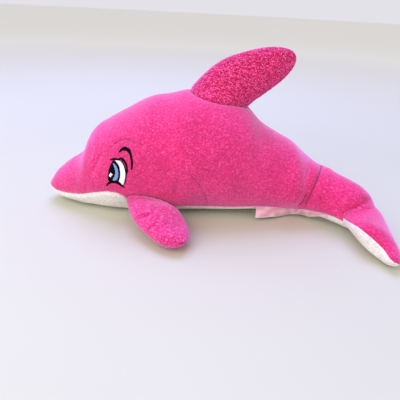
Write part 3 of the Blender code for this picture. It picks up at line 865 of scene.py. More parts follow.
@dataclass
class Body:
    """Body of the dolphin: snout, forehead, flanks, underside and tail stock."""

    length: float = 297.0 * MM
    stations: Table = (
        (0, 13.7, 13.9, 0.1), (2, 10, 18.2, 5.3), (6, 5.6, 25, 10.5),
        (15, 2.4, 34.2, 17), (22, 1.2, 39.6, 21.2), (28, 0.4, 43.4, 24.5),
        (34, -0.6, 49, 28), (36.6, -0.9, 53.4, 29.6), (39.6, -1.2, 60.8, 31.3),
        (42.6, -1.5, 66.4, 32.8), (46, -1.8, 70.4, 34.5), (58, -2.6, 78.8, 39),
        (74, -3, 88.2, 42.5), (95, -2.6, 99.2, 45.5), (110, -1.6, 101.8, 46.5),
        (125, -0.4, 105.4, 47), (153, 1.2, 104, 46), (174, 2.4, 95, 43),
        (188, 3.2, 81.6, 39), (203, 4, 72.8, 35), (218, 4.6, 64.9, 31.2),
        (229, 5, 54.2, 28.2), (237, 5.2, 48.4, 25.4), (246, 5, 47.2, 22.2),
        (258, 4.6, 45.4, 18.8), (273, 4.2, 43.4, 16.2), (284, 5, 40.4, 14.6),
        (292, 8.4, 34.4, 12.2), (297, 13.6, 25, 6.6),
    )
    belly_seam: Table = (
        (0, 13.8), (6, 13.2), (14, 12.6), (24, 14), (39, 18), (50, 22),
        (64, 25), (73, 22.5), (80, 15), (87, 9), (96, 7.6), (110, 9.2),
        (122, 11.4), (140, 11.8), (173, 12.5), (188, 12.9), (203, 12),
        (218, 10.2), (236, 10.6), (250, 11.4), (262, 13.2), (275, 13.8),
        (290, 13.4), (297, 14.4),
    )
    cheek_seam: Table = (
        (40, 11), (42, 26), (48, 41.5), (56, 52.5), (63, 60.5), (70, 67.5),
        (79, 70.5), (96, 67.5), (111, 61.5), (129, 50), (139, 38),
        (144, 26), (146, 14), (147, 3),
    )
    bend: float = math.radians(46.0)
    bend_start: float = 214.0 * MM
    bend_end: float = 250.0 * MM
    column_step: float = 0.66 * MM
    steepest: float = 2.6
    snout_crowding: float = 6.0 * MM
    side_rows: int = 152
    cheek_rows: int = 88
    belly_rows: int = 96
    filling_gap: float = 2.4 * MM
    relief: Relief = field(default_factory=Relief)

    def heading(self, along: Array) -> Array:
        """Angle that the middle line has turned to -y: a smooth step of the bend."""
        share = (along - self.bend_start) / (self.bend_end - self.bend_start)
        return self.bend * eased(share)

    def middle_line(self, along: Array) -> tuple[Array, Array]:
        """Plan position of the middle line: the sum of small steps along the heading."""
        steps = np.linspace(0.0, self.length + CLOTH_WALL, 1200)
        turn = self.heading(steps)[:-1]
        step = steps[1] - steps[0]
        x = np.concatenate([[0.0], np.cumsum(np.cos(turn) * step)])
        y = np.concatenate([[0.0], np.cumsum(-np.sin(turn) * step)])
        return np.interp(along, steps, x), np.interp(along, steps, y)

    def section(self, along: Array) -> tuple[Array, Array, Array]:
        """Half width, half height and middle height of the oval section."""
        table = np.asarray(self.stations) * MM
        bottom, top, half_width = (smooth(along, table[:, 0], table[:, k]) for k in (1, 2, 3))
        return half_width, (top - bottom) / 2.0, (top + bottom) / 2.0

    def point(self, along: Array, angle: Array) -> Array:
        """Point of the oval: half width·cos(angle) sideways, half height·sin(angle) up.

        Angle -90 degrees is under the belly, 0 on the left flank and 90 on the
        crest. What lies below the floor is pressed flat on it.
        """
        along, angle = np.broadcast_arrays(along, angle)
        half_width, half_height, middle = self.section(along)
        x, y = self.middle_line(along)
        turn = self.heading(along)
        reach = half_width * np.cos(angle)
        height = np.maximum(middle + half_height * np.sin(angle), 0.0)
        return np.stack([x - np.sin(turn) * reach, y - np.cos(turn) * reach, height], -1)

    def outwards(self, along: Array, angle: Array) -> Array:
        """Unit vectors out of the oval."""
        return surface_normal(self.point, along, angle, 0.2 * MM, self.length)

    def angle_at(self, along: Array, height: Array) -> Array:
        """Angle on the left flank at a height: arcsine of the share of half height."""
        _, half_height, middle = self.section(along)
        return np.arcsin(np.clip((height - middle) / half_height, -0.999, 0.999))

    def seam_angle(self, along: Array) -> Array:
        """Angle of the belly seam."""
        table = np.asarray(self.belly_seam) * MM
        return self.angle_at(along, smooth(along, table[:, 0], table[:, 1]))

    def cheek_angle(self, along: Array) -> Array:
        """Angle of the arched cheek seam, or of the belly seam where that is higher."""
        arch = smooth_points(np.linspace(0.0, 1.0, 300), self.cheek_seam)
        height = np.interp(along, arch[:, 0], arch[:, 1], left=-1.0, right=-1.0)
        seam = self.seam_angle(along)
        return np.maximum(np.where(height > 0.0, self.angle_at(along, height), seam), seam)

    def cheek_ends(self) -> tuple[float, float]:
        """Where the cheek seam leaves the belly seam and where it meets it again."""
        along = np.linspace(0.0, self.length, FINE_COUNT)
        inside = along[self.cheek_angle(along) > self.seam_angle(along) + 1e-5]
        return float(inside[0]), float(inside[-1])

    def columns(self, step: int) -> Array:
        """Places along the body, closer where the cheek seam is steep and at the snout.

        The spacing is column_step over the square root of 1 + slope², with the
        slope of the lower edge limited to the steepest.
        """
        along = np.linspace(0.0, self.length, FINE_COUNT)
        low = self.point(along, self.cheek_angle(along))[:, 2]
        slope = np.minimum(np.abs(np.gradient(low, along)), self.steepest)
        crowd = np.sqrt(1.0 + slope**2) / self.column_step
        crowd = crowd + bell(along, self.snout_crowding) / self.column_step
        total = np.concatenate([[0.0], np.cumsum(crowd[:-1] * np.diff(along))])
        count = int(math.ceil(total[-1] / step)) * step
        return np.interp(np.linspace(0.0, total[-1], count + 1), total, along)

    def on_side(self, side: Side, angle: Array) -> Array:
        """Angle on the asked side of the body that mirrors one on its left."""
        return angle if side is Side.LEFT else math.pi - angle

    def path(self, along: Array, angle: Array, side: Side = Side.LEFT) -> Array:
        """Path on the surface through places along and around the body."""
        return self.point(np.asarray(along), self.on_side(side, np.asarray(angle)))

    def sheet(
        self, along: Array, low: Array, high: Array, rows: int, side: Side
    ) -> tuple[Array, Array]:
        """Grid of the smooth surface between two edges, and its outward vectors.

        Rows run evenly in angle from the low edge to the high one.
        """
        share = np.linspace(0.0, 1.0, rows + 1)[None, :]
        angle = low[:, None] * (1.0 - share) + high[:, None] * share
        angle = self.on_side(side, angle)
        return self.point(along[:, None], angle), self.outwards(along[:, None], angle)

    def inside(self, points: Array) -> Array:
        """Below 0 inside the straight parts: (side/half width)² + (height/half height)² - 1.

        Behind the bend, the place along the body and to its side are read in the
        tail's own direction. Past the tail's end every point is outside.
        """
        x, y = self.middle_line(self.length)
        cos, sin = math.cos(self.bend), math.sin(self.bend)
        back = self.length + (points[..., 0] - x) * cos - (points[..., 1] - y) * sin
        tail = back > self.bend_end
        side = np.where(
            tail, (points[..., 0] - x) * sin + (points[..., 1] - y) * cos, points[..., 1]
        )
        along = np.where(tail, back, np.clip(points[..., 0], 0.0, self.bend_start))
        half_width, half_height, middle = self.section(np.minimum(along, self.length))
        share = (side / half_width) ** 2 + ((points[..., 2] - middle) / half_height) ** 2
        return np.where(along > self.length, 1.0, share - 1.0)

    def add_seams(self) -> None:
        """Lay the body's own seams, folds, dents and swellings into its relief."""
        along = np.linspace(1.0 * MM, self.length, 110)
        seam = self.seam_angle(along)
        front, back = self.cheek_ends()
        sewn = Groove(1.1, 1.0, 0.35, 4.0, 0.2, 7.0, shade=0.35)
        arched = Groove(0.12, 0.9, 0.05, 4.0, 0.2, 9.0, shade=0.05)
        stitched = Groove(0.8, 0.8, 0.1, 3.5, 0.35, 6.0, fade=0.3, shade=0.55)
        crest = Groove(0.3, 0.9, 0.0, 4.0, 0.2, 8.0, shade=0.1)
        deep = Groove(3.2, 1.5, 1.3, 6.5, fade=0.2, shade=0.95)
        soft = Groove(2.2, 1.9, 0.9, 6.0, fade=0.3, shade=0.5)
        faint = Groove(0.9, 2.0, 0.4, 5.0, fade=0.35, shade=0.15)
        grooves = self.relief.grooves
        for side in Side:
            grooves.append((sewn, self.path(along, seam, side)))
            for groove, first, last in (
                (arched, front, back), (stitched, 60.0 * MM, 99.0 * MM),
                (stitched, 124.0 * MM, back),
            ):
                arch = np.linspace(first, last, 80)
                grooves.append((groove, self.path(arch, self.cheek_angle(arch), side)))
        grooves.append((crest, self.path(along[:46], np.full(46, CREST))))
        folds = (
            (deep, ((244, 112), (245.8, 90.5), (248.4, 76.8), (251.5, 54.7),
                    (252.8, 33.3), (252, 7.4), (249.5, -14.9), (246, -34))),
            (soft, ((250.5, 17), (247.5, 5.9), (244, -5.1), (235.3, -17.7),
                    (227, -30))),
            (soft, ((292, 110), (292.8, 88.1), (291.5, 49.1), (289.5, 26.2),
                    (285.5, 5.9), (282, -5.3), (277, -16))),
            (faint, ((60, 33), (55.5, 25.8), (50.2, 13.6), (47, 4))),
            (faint, ((121, 6), (121, -11.7), (118.3, -22.4), (118.3, -36))),
        )
        for groove, places in folds:
            line = even_line([(s * MM, math.radians(a)) for s, a in places], 24, 1.0)
            grooves.append((groove, self.path(line[:, 0], line[:, 1])))
        for s, a, radius, depth in (
            (119, -24, 9, 1.8), (178, 20, 16, 1), (186, -10, 14, 0.9),
            (52, 8, 11, 0.8), (236, 58, 13, -1.8), (233, 30, 20, -4.4),
            (232, 0, 14, -2.8),
        ):
            centre = self.path(s * MM, math.radians(a))
            self.relief.dents.append((centre, radius * MM, depth * MM))

    def build(self, shop: Workshop, pressed: Callable[[Array], Array]) -> None:
        """Make the panels of the body and its filling.

        Args:
            shop: where pieces are made.
            pressed: share of the pile that the embroidery presses flat at points.
        """
        along = self.columns(LINING_STEP)
        seam, cheek = self.seam_angle(along), self.cheek_angle(along)
        crest = np.full(len(along), CREST)
        belly = self.sheet(along, -math.pi - seam, seam, self.belly_rows, Side.LEFT)
        shop.cloth("belly", belly, self.relief, WHITE_PILE)
        front, back = np.searchsorted(along, self.cheek_ends())
        blocks = math.ceil((back - front) / LINING_STEP)
        part = slice(front - 1, front + blocks * LINING_STEP)
        panels = (("body", along, cheek, crest, self.side_rows),
                  ("cheek", along[part], seam[part], cheek[part], self.cheek_rows))
        for side in Side:
            for name, *edges, rows in panels:
                grid = self.sheet(*edges, rows, side)
                shop.cloth(f"{side.title}_{name}", grid, self.relief, BODY_PILE,
                           pressed(grid[0]))
        self.fill(shop)

    def fill(self, shop: Workshop) -> None:
        """Make the filling: closed rings a little inside the cover and its folds."""
        along = np.linspace(4.0 * MM, self.length - 1.0 * MM, 150)[:, None]
        angle = np.linspace(-math.pi, math.pi, 120, endpoint=False)[None, :]
        shop.filling("body", (self.point(along, angle), self.outwards(along, angle)),
                     self.relief, self.filling_gap, CLOTH_FILL)


# ---- Fins


@dataclass
class Fin:
    """A flat stuffed fin of two cloths, sewn together round its edge."""

    stem: str
    parts: tuple[str, str]
    piles: tuple[Pile, Pile]
    line: Array
    half_chord: Array
    half_thickness: Array
    chord: Array
    thick: Array
    rows: int
    columns: int
    tuck: float = 0.0
    filled_from: float = 0.0
    fill: float = CLOTH_FILL
    two_tips: bool = False
    bluntness: float = 7.0
    tip_stop: float = 0.9985
    edge_crowding: float = 0.22
    filling_gap: float = 2.2 * MM
    filling_rings: int = 40
    filling_sides: int = 48
    relief: Relief = field(default_factory=Relief)

    def point(self, share: Array, angle: Array) -> Array:
        """Surface point: line + chord·wide·cos(angle) + thick·deep·sin(angle).

        Both half sizes shrink to the tip by the square root of 1 - far^bluntness.
        """
        share, angle = np.broadcast_arrays(share, angle)
        inside = np.clip(share, 0.0, 1.0)
        far = np.abs(2.0 * inside - 1.0) if self.two_tips else inside
        blunt = np.sqrt(np.maximum(1.0 - far**self.bluntness, 1e-6))
        knots = np.linspace(0.0, 1.0, len(self.line))
        centre, chord, thick = (
            np.stack([smooth(inside, knots, table[:, k]) for k in range(3)], -1)
            for table in (self.line, self.chord, self.thick)
        )
        wide = smooth(inside, knots, self.half_chord) * blunt * np.cos(angle)
        deep = smooth(inside, knots, self.half_thickness) * blunt * np.sin(angle)
        return centre + chord * wide[..., None] + thick * deep[..., None]

    def outwards(self, share: Array, angle: Array) -> Array:
        """Unit normals, turned away from the middle."""
        normal = surface_normal(self.point, share, angle, 0.001, 1.0)
        out = self.point(share, angle) - self.point(share, angle + math.pi)
        return normal * np.sign(np.sum(normal * out))

    def root(self, body: Body, angle: Array) -> Array:
        """Share of the line at which the fin leaves the body, for each angle."""
        share = np.linspace(0.0, 0.75, 300)[None, :]
        outside = body.inside(self.point(share, angle[:, None])) > 0.0
        last_in = outside.shape[1] - 1 - np.argmax(~outside[:, ::-1], axis=1)
        return share[0, np.minimum(last_in + 1, outside.shape[1] - 1)]

    def edge_seams(self, sewn: Groove) -> None:
        """Add the seam that runs along both edges of the fin to its relief."""
        share = np.linspace(0.0, self.tip_stop, 60)
        for angle in (0.0, math.pi):
            self.relief.grooves.append((sewn, self.point(share, np.full(60, angle))))

    def half(self, start: float, body: Body) -> tuple[Array, Array]:
        """Grid of one side of the fin, from edge seam to edge seam.

        Angles crowd towards the edges, and shares towards the tips, by the
        cosine rule, so that cells keep about one size.

        Args:
            start: angle of its first edge.
            body: the body, in which the cloth starts unless the fin has two tips.

        Returns:
            The smooth grid and its outward vectors.
        """
        turn = np.linspace(0.0, math.pi, self.columns + 1)
        turn = turn - self.edge_crowding * np.sin(2.0 * turn)
        angle = (start + turn)[None, :]
        step = np.linspace(0.0, 1.0, self.rows + 1)[:, None]
        if self.two_tips:
            share = 0.5 - 0.5 * self.tip_stop * np.cos(step * math.pi)
            share = 0.55 * share + 0.45 * (0.5 + (step - 0.5) * self.tip_stop)
            share = np.broadcast_to(share, (self.rows + 1, self.columns + 1))
        else:
            near = (self.root(body, angle[0]) - self.tuck)[None, :]
            ease = 0.6 * step + 0.4 * np.sin(step * math.pi / 2.0)
            share = near + (self.tip_stop - near) * ease
        return self.point(share, angle), self.outwards(share, angle)

    def rings(self) -> tuple[Array, Array]:
        """Closed rings of points for the filling, and their outward vectors."""
        step = np.linspace(0.0, 1.0, self.filling_rings)
        share = self.filled_from + (0.985 - self.filled_from) * np.sin(step * math.pi / 2.0)
        if self.two_tips:
            share = 0.5 - 0.488 * np.cos(step * math.pi)
        angle = np.linspace(0.0, 2.0 * math.pi, self.filling_sides, endpoint=False)[None, :]
        return self.point(share[:, None], angle), self.outwards(share[:, None], angle)

    def build(self, shop: Workshop, body: Body) -> None:
        """Make the cloth of both sides and the filling."""
        for part, pile, start in zip(self.parts, self.piles, (0.0, math.pi)):
            shop.cloth(f"{self.stem}_{part}", self.half(start, body), self.relief, pile)
        shop.filling(self.stem, self.rings(), self.relief, self.filling_gap, self.fill)


def heading_vectors(degrees: Sequence[float], first: int, second: int, sign: float = 1.0) -> Array:
    """Unit vectors at angles in the plane of two axes: cosine on one, sine on the other."""
    angle = np.radians(np.asarray(degrees, float))
    vectors = np.zeros((len(angle), 3))
    vectors[:, first] = np.cos(angle)
    vectors[:, second] = sign * np.sin(angle)
    return vectors


def pitched(level: Array, degrees: Sequence[float]) -> tuple[Array, Array]:
    """Chords and thicknesses of a fin whose level chords fall backwards by angles."""
    upright = np.array([0.0, 0.0, 1.0])
    pitch = np.radians(np.asarray(degrees, float))[:, None]
    chord = level * np.cos(pitch) - upright * np.sin(pitch)
    return chord, level * np.sin(pitch) + upright * np.cos(pitch)


def dorsal_fin() -> Fin:
    """Dorsal fin of curled fleece, standing on the crest and swept back.

    Its chord leans in the xz plane, and its thickness is along y.
    """
    line = (
        (146.8, 0, 88.2), (152.8, 0, 103.2), (167.3, 0, 116.9), (182.7, 0, 126.8),
        (208.7, 0, 139.1),
    )
    lean = (-10.7, -20.1, -27.8, -29.1, -47.1)
    return Fin(
        "dorsal_fin", ("left", "right"), (FIN_PILE, FIN_PILE), np.asarray(line) * MM,
        in_mm(28.3, 24.2, 23.5, 22.1, 15.9), in_mm(31, 17, 12, 10, 8),
        heading_vectors(lean, 0, 2), np.tile([0.0, -1.0, 0.0], (len(line), 1)),
        rows=224, columns=144, tuck=0.02, filled_from=0.32, fill=0.8,
    )


def flipper(side: Side) -> Fin:
    """Flipper of tufted velboa, reaching out and down from the breast to the floor.

    Its chord sweeps back in plan and falls by the pitch. Two wrinkles cross it.
    """
    line = (
        (95.8, 24.8, 23.3), (97.9, 38.9, 14.7), (105.9, 58.8, 15.5), (119.1, 77.4, 9.9),
        (127.8, 90.5, 10.8),
    )
    sweep = (0, 8, 20, 30, 40)
    pitch = (12.2, 17.3, 1.5, 2.4, -2.5)
    wrinkles = (
        ((0.548, 158), (0.560, 148), (0.574, 134.2), (0.574, 118.6), (0.576, 106)),
        ((0.660, 166), (0.670, 158), (0.678, 149.3), (0.684, 136.7), (0.688, 124)),
    )
    mirror = side.value
    fin = Fin(
        f"{side.title}_flipper", ("upper", "lower"), (FLIPPER_PILE, FLIPPER_PILE),
        np.asarray(line) * (MM, -mirror * MM, MM), in_mm(22.2, 20.4, 19.2, 16, 11.2),
        in_mm(10, 9.4, 9.6, 8.7, 6.9), *pitched(heading_vectors(sweep, 0, 1, mirror), pitch),
        rows=168, columns=104, tuck=0.03, filled_from=0.3,
    )
    soft = Groove(1.3, 1.2, 0.5, 3.2, fade=0.3, shade=0.35)
    for places in wrinkles:
        share, angle = even_line(places, 16, 1.0).T
        fin.relief.grooves.append((soft, fin.point(share, np.radians(angle))))
    return fin


def tail_fluke(body: Body) -> Fin:
    """Fluke across the tail's end, pink above and white below, both lobes drooping.

    Its leading edge is raised by the pitch at each place.
    """
    line = (
        (2.7, -52.5, -9.7), (3.3, -42, -10.1), (-3.4, -27, -4.8), (-4.2, 0, -2.4),
        (2.5, 18, -5.5), (7.5, 32, -9), (11.5, 43, -11.2),
    )
    turn = (-2, 2, 2, -3, -8, -14, -18)
    pitch = (27.3, 37.9, 30.3, 3, 28.5, 33, 27)
    x, y = body.middle_line(body.length)
    _, _, z = body.section(np.asarray(body.length))
    return Fin(
        "fluke", ("upper", "lower"), (BODY_PILE, WHITE_PILE),
        np.asarray(line) * MM + np.array([float(x), float(y), float(z)]),
        in_mm(7.8, 8.8, 16.9, 15.9, 15.6, 12.5, 8),
        in_mm(4.7, 7.5, 10.2, 10.4, 8.2, 6.2, 4.8),
        *pitched(heading_vectors(turn, 0, 1), pitch), rows=208, columns=88, two_tips=True,
    )


# ---- Embroidery


@dataclass(frozen=True)
class Patch:
    """A satin-stitched patch: bands of strands laid side by side from edge to edge."""

    title: str
    floss: Floss
    lift: float
    bands: Sequence[tuple[Table, Table]]
    pitch: float = 0.42 * MM


EYE_PATCHES = (
    Patch("eye_white", WHITE_FLOSS, 0.45 * MM, (
        (((-0.8, 8.9), (1.2, 6.9), (2.5, 4.8), (3, 1.7), (3.1, -1.8), (2.6, -5),
          (1.8, -7.6), (3, -9), (4.7, -10.6)),
         ((-0.6, 9.5), (1.2, 9.8), (3.6, 9.6), (5.4, 8.1), (6.7, 5.7), (7.5, 3.2), (7.8, 0.3),
          (7.6, -2.8), (6.9, -6.1), (6, -8.8), (4.9, -10.6))),
    )),
    Patch("pupil", BLACK_FLOSS, 0.7 * MM, (
        (((-2.6, 8.8), (-4.1, 7.2), (-5.6, 4.3), (-6.6, 1.3), (-7.3, -1.7), (-7.7, -5.1),
          (-7.5, -8.4)),
         ((-0.7, 9.1), (1.3, 6.9), (2.6, 4.8), (3.2, 1.7), (3.3, -1.8), (2.8, -5),
          (1.2, -8.2))),
    )),
    Patch("iris", BLUE_FLOSS, 1.0 * MM, (
        (((-2.6, 6.6), (-2, 4.5), (-1.2, 2.1), (-0.9, -0.2), (-1.5, -3.1), (-2.8, -5.3),
          (-3.5, -7)),
         ((-1.1, 6.6), (0.6, 4.8), (1.5, 2.4), (1.9, -0.5), (1.7, -3.5), (0.7, -6),
          (-0.4, -7))),
    )),
    Patch("highlight", WHITE_FLOSS, 1.1 * MM, (
        (((-4.9, -1), (-6.4, -3.4)), ((-3, -2.3), (-4.6, -4.7))),
    )),
    Patch("lash", BLACK_FLOSS, 0.55 * MM, (
        (((-5.4, 9.3), (-3.6, 10.4), (-2.4, 11), (-0.6, 11.2), (1.2, 11), (3, 11.8),
          (4.4, 12.3), (6, 11.5), (7.7, 9.9), (8.8, 8), (9.5, 5.4), (9.7, 3),
          (9.2, 0.3)),
         ((-4.8, 8.8), (-3.1, 9.2), (-1.9, 9.2), (-0.6, 9.2), (1.2, 9.5), (2.8, 10.4),
          (3.9, 10.7), (5.2, 9.8), (6.5, 8.5), (7.4, 7), (8.1, 5), (8.3, 3),
          (8.2, 0.6))),
        (((1, 10.4), (3.6, 10.1), (5.7, 8.4), (7, 6), (7.9, 3.4), (8.4, 0.5),
          (8.2, -2.9), (7.6, -6), (6.6, -9.2)),
         ((1, 9.6), (3.4, 9.4), (5.1, 7.9), (6.3, 5.5), (7.1, 3), (7.5, 0.3),
          (7.4, -2.9), (6.8, -6), (6, -9))),
    ), 0.36 * MM),
    Patch("lower_lid", BLACK_FLOSS, 0.6 * MM, (
        (((-9.4, -13.2), (-7.3, -9.8), (-4.5, -7.9), (-1.8, -7.3), (0.2, -7.7), (2.6, -8.9),
          (4.8, -10.8), (5.8, -13.3)),
         ((-9.2, -13.4), (-7.1, -11.6), (-4.6, -10.3), (-1.9, -9.9), (0.1, -10.4), (2.5, -11.6),
          (4.2, -12.5), (5.6, -13.5))),
    )),
    Patch("brow", BLACK_FLOSS, 0.6 * MM, (
        (((1.8, 16.4), (3.2, 18.3), (4.7, 19.6), (6.2, 20.4), (8.2, 20.6), (10, 20),
          (11.7, 18.8), (12.5, 16.2), (13.2, 13.7), (13.8, 10.4), (13.8, 7), (13.1, 3.7)),
         ((2.7, 15.9), (4.5, 17.2), (6.3, 17.8), (8.1, 17.7), (9.4, 16.9), (10.6, 15.5),
          (11.4, 13.9), (11.9, 11.2), (12.2, 8), (12.2, 3.7))),
    )),
)


@dataclass
class EmbroideredEye:
    """Eye and brow, stitched onto the cheek: one patch of strands for each part."""

    side: Side
    place: float = 70.5 * MM
    height: float = 45.0 * MM
    patches: Sequence[Patch] = EYE_PATCHES
    samples: int = 200
    along_cells: int = 8
    ring: int = 6
    uneven: float = 0.14
    overshoot: float = 0.1 * MM
    sunk: float = 0.25 * MM
    end_crowding: float = 0.11
    thin_end: float = 0.25
    plump: float = 0.42
    flattened: float = 0.85
    ovals: Table = ((0, -1, 10.5, 14.5), (9, 14, 8, 11.5))
    press_end: float = 1.35
    press_fade: float = 0.4

    def on_cheek(self, body: Body, flat: Array) -> tuple[Array, Array]:
        """Place points of the eye's drawing on the cheek.

        Args:
            body: the body that carries the eye.
            flat: distances behind the eye's centre and above it.

        Returns:
            Points on the smooth cheek and unit vectors out of it.
        """
        along = self.place + flat[..., 0]
        angle = body.on_side(self.side, body.angle_at(along, self.height + flat[..., 1]))
        return body.point(along, angle), body.outwards(along, angle)

    def strands(
        self, body: Body, patch: Patch, edges: tuple[Table, Table]
    ) -> tuple[Array, list[tuple[int, ...]]]:
        """Work out the strands of one band of a patch.

        Strand i runs from a point on the first edge to the same share of the
        second. Across it rises as the fourth root of sin(πv), and its round
        section of six sides shrinks at both ends, where it enters the cloth.

        Args:
            body: the body that carries the eye.
            patch: the patch, for its thread.
            edges: the band's first and second edge.

        Returns:
            Vertices and faces.
        """
        first, second = (even_line(edge, self.samples) for edge in edges)
        span = np.linalg.norm(np.diff((first + second) / 2.0, axis=0), axis=1).sum()
        count = max(int(round(span / patch.pitch)), 4)
        generator = np.random.default_rng(len(patch.title) * 7 + 3)
        row = np.linspace(0, self.samples - 1, count)
        start, end = (
            np.stack([np.interp(row, np.arange(self.samples), edge[:, k]) for k in (0, 1)], -1)
            for edge in (first, second)
        )
        way = unit_vectors(end - start)
        jitter = generator.uniform(-self.uneven, self.uneven, (count, 2)) * MM
        start = start - way * (self.overshoot + jitter[:, :1])
        end = end + way * (self.overshoot + jitter[:, 1:])
        v = np.linspace(0.0, 1.0, self.along_cells + 1)
        v = v - self.end_crowding * np.sin(2.0 * math.pi * v)
        flat = start[:, None, :] * (1.0 - v[None, :, None]) + end[:, None, :] * v[None, :, None]
        points, outwards = self.on_cheek(body, flat)
        rise = np.maximum(np.sin(math.pi * v), 0.0) ** 0.25
        level = (patch.lift * rise - self.sunk)[None, :, None]
        centre = points + outwards * level
        run = unit_vectors(np.gradient(centre, axis=1))
        across = unit_vectors(np.cross(run, outwards))
        ring = np.linspace(0.0, 2.0 * math.pi, self.ring, endpoint=False)
        radius = (patch.pitch * (self.thin_end + self.plump * rise))[:, None, None]
        tube = (
            centre[:, :, None] + across[:, :, None] * np.cos(ring)[:, None] * radius
            + outwards[:, :, None] * (self.flattened * np.sin(ring))[:, None] * radius
        )
        cells, sides = self.along_cells + 1, self.ring
        index = np.arange(count * cells * sides).reshape(count, cells, sides)
        wrapped = np.concatenate([index, index[:, :, :1]], axis=2)
        walls = np.stack(
            [wrapped[:, :-1, :-1], wrapped[:, 1:, :-1], wrapped[:, 1:, 1:],
             wrapped[:, :-1, 1:]], -1,
        ).reshape(-1, 4)
        near = index[:, 0, :]
        far = index[:, -1, ::-1]
        sample = np.cross(tube[:, 1, 0] - tube[:, 0, 0], tube[:, 0, 1] - tube[:, 0, 0])
        if float(np.sum(sample * (tube[:, 0, 0] - centre[:, 0]))) < 0.0:
            walls, near, far = walls[:, ::-1], near[:, ::-1], far[:, ::-1]
        return tube.reshape(-1, 3), walls.tolist() + near.tolist() + far.tolist()

    def pressed(self, points: Array) -> Array:
        """Share of the pile that the stitches press flat, from 0 to 1.

        It is full inside an oval round the eye and another round the brow, given
        by their centres and half sizes in millimetres, and fades outside them.
        """
        near = [
            np.hypot((points[..., 0] - self.place - x * MM) / (wide * MM),
                     (points[..., 2] - self.height - z * MM) / (high * MM))
            for x, z, wide, high in self.ovals
        ]
        return np.clip((self.press_end - np.minimum(*near)) / self.press_fade, 0.0, 1.0)

    def build(self, shop: Workshop, body: Body) -> None:
        """Make every stitched patch of this eye."""
        for patch in self.patches:
            points, faces = np.empty((0, 3)), []
            for edges in patch.bands:
                band, walls = self.strands(body, patch, edges)
                faces += [tuple(v + len(points) for v in face) for face in walls]
                points = np.concatenate([points, band])
            node = f"{self.side.title}_{patch.title}"
            shop.piece(Tag(f"{node}_stitches", node, patch.floss), points, faces)


# ---- Label


@dataclass
class CareLabel:
    """Sheer ribbon caught in the left belly seam, with its front end free."""

    start: float = 188.0 * MM
    end: float = 268.0 * MM
    width: float = 10.0 * MM
    thickness: float = 0.18 * MM
    clearance: float = 0.8 * MM
    tilt: Sequence[float] = (20, 8, -8, -20, -28, -32, -36, -34, -24)
    rows: int = 96
    columns: int = 12
    above_seam: float = 0.12
    taper: float = 22.0 * MM
    narrowest: float = 0.25
    waves: Table = ((0.5, 8.5), (0.3, 3.1))
    least_height: float = 0.3 * MM
    uv_length: float = 7.0

    def build(self, shop: Workshop, body: Body) -> None:
        """Make the ribbon.

        Across its width it leaves the seam downwards, tilted out from upright by
        the angle at its place, and ripples in waves of given heights and lengths
        in millimetres. Over its taper it draws back into the seam, to its
        narrowest share of the width.
        """
        along = np.linspace(self.start, self.end, self.rows + 1)
        angle = body.seam_angle(along)
        seam = body.point(along, angle) + body.outwards(along, angle) * self.clearance
        turn = body.heading(along)
        side = np.stack([-np.sin(turn), -np.cos(turn), np.zeros_like(turn)], -1)
        knots = np.linspace(self.start, self.end, len(self.tilt))
        tilt = np.radians(smooth(along, knots, np.asarray(self.tilt)))[:, None]
        across = side * np.sin(tilt) + np.array([0.0, 0.0, -1.0]) * np.cos(tilt)
        v = np.linspace(0.0, 1.0, self.columns + 1)[None, :, None] - self.above_seam
        wide = eased((self.end - along) / self.taper)
        narrow = self.narrowest + (1.0 - self.narrowest) * wide
        middle = seam[:, None, :] + across[:, None, :] * v * (self.width * narrow)[:, None, None]
        normal = unit_vectors(np.cross(np.gradient(seam, axis=0), across))
        wave = sum(high * MM * np.sin(along / (long * MM)) for high, long in self.waves)
        hung = np.clip(v[..., 0], 0.0, 1.0)
        middle = middle + normal[:, None, :] * (wave[:, None] * hung)[..., None]
        middle[..., 2] = np.maximum(middle[..., 2], self.least_height)
        outer = middle + normal[:, None, :] * self.thickness / 2.0
        inwards = np.broadcast_to(-normal[:, None, :], outer.shape)
        label = shop.panel(Tag("care_label_ribbon", "care_label", RIBBON), outer, outer,
                           inwards, wall=self.thickness, step=1)
        u, w = np.meshgrid(np.linspace(0.0, self.uv_length, self.rows + 1),
                           np.linspace(0.0, 1.0, self.columns + 1), indexing="ij")
        flat = np.stack([u.ravel(), w.ravel()], -1)
        flat = np.concatenate([flat, flat])
        layer = label.data.uv_layers.new(name="ribbon")
        corner = np.empty(len(label.data.loops), np.int64)
        label.data.loops.foreach_get("vertex_index", corner)
        layer.data.foreach_set("uv", flat[corner].astype(np.float32).ravel())


# ---- Studio


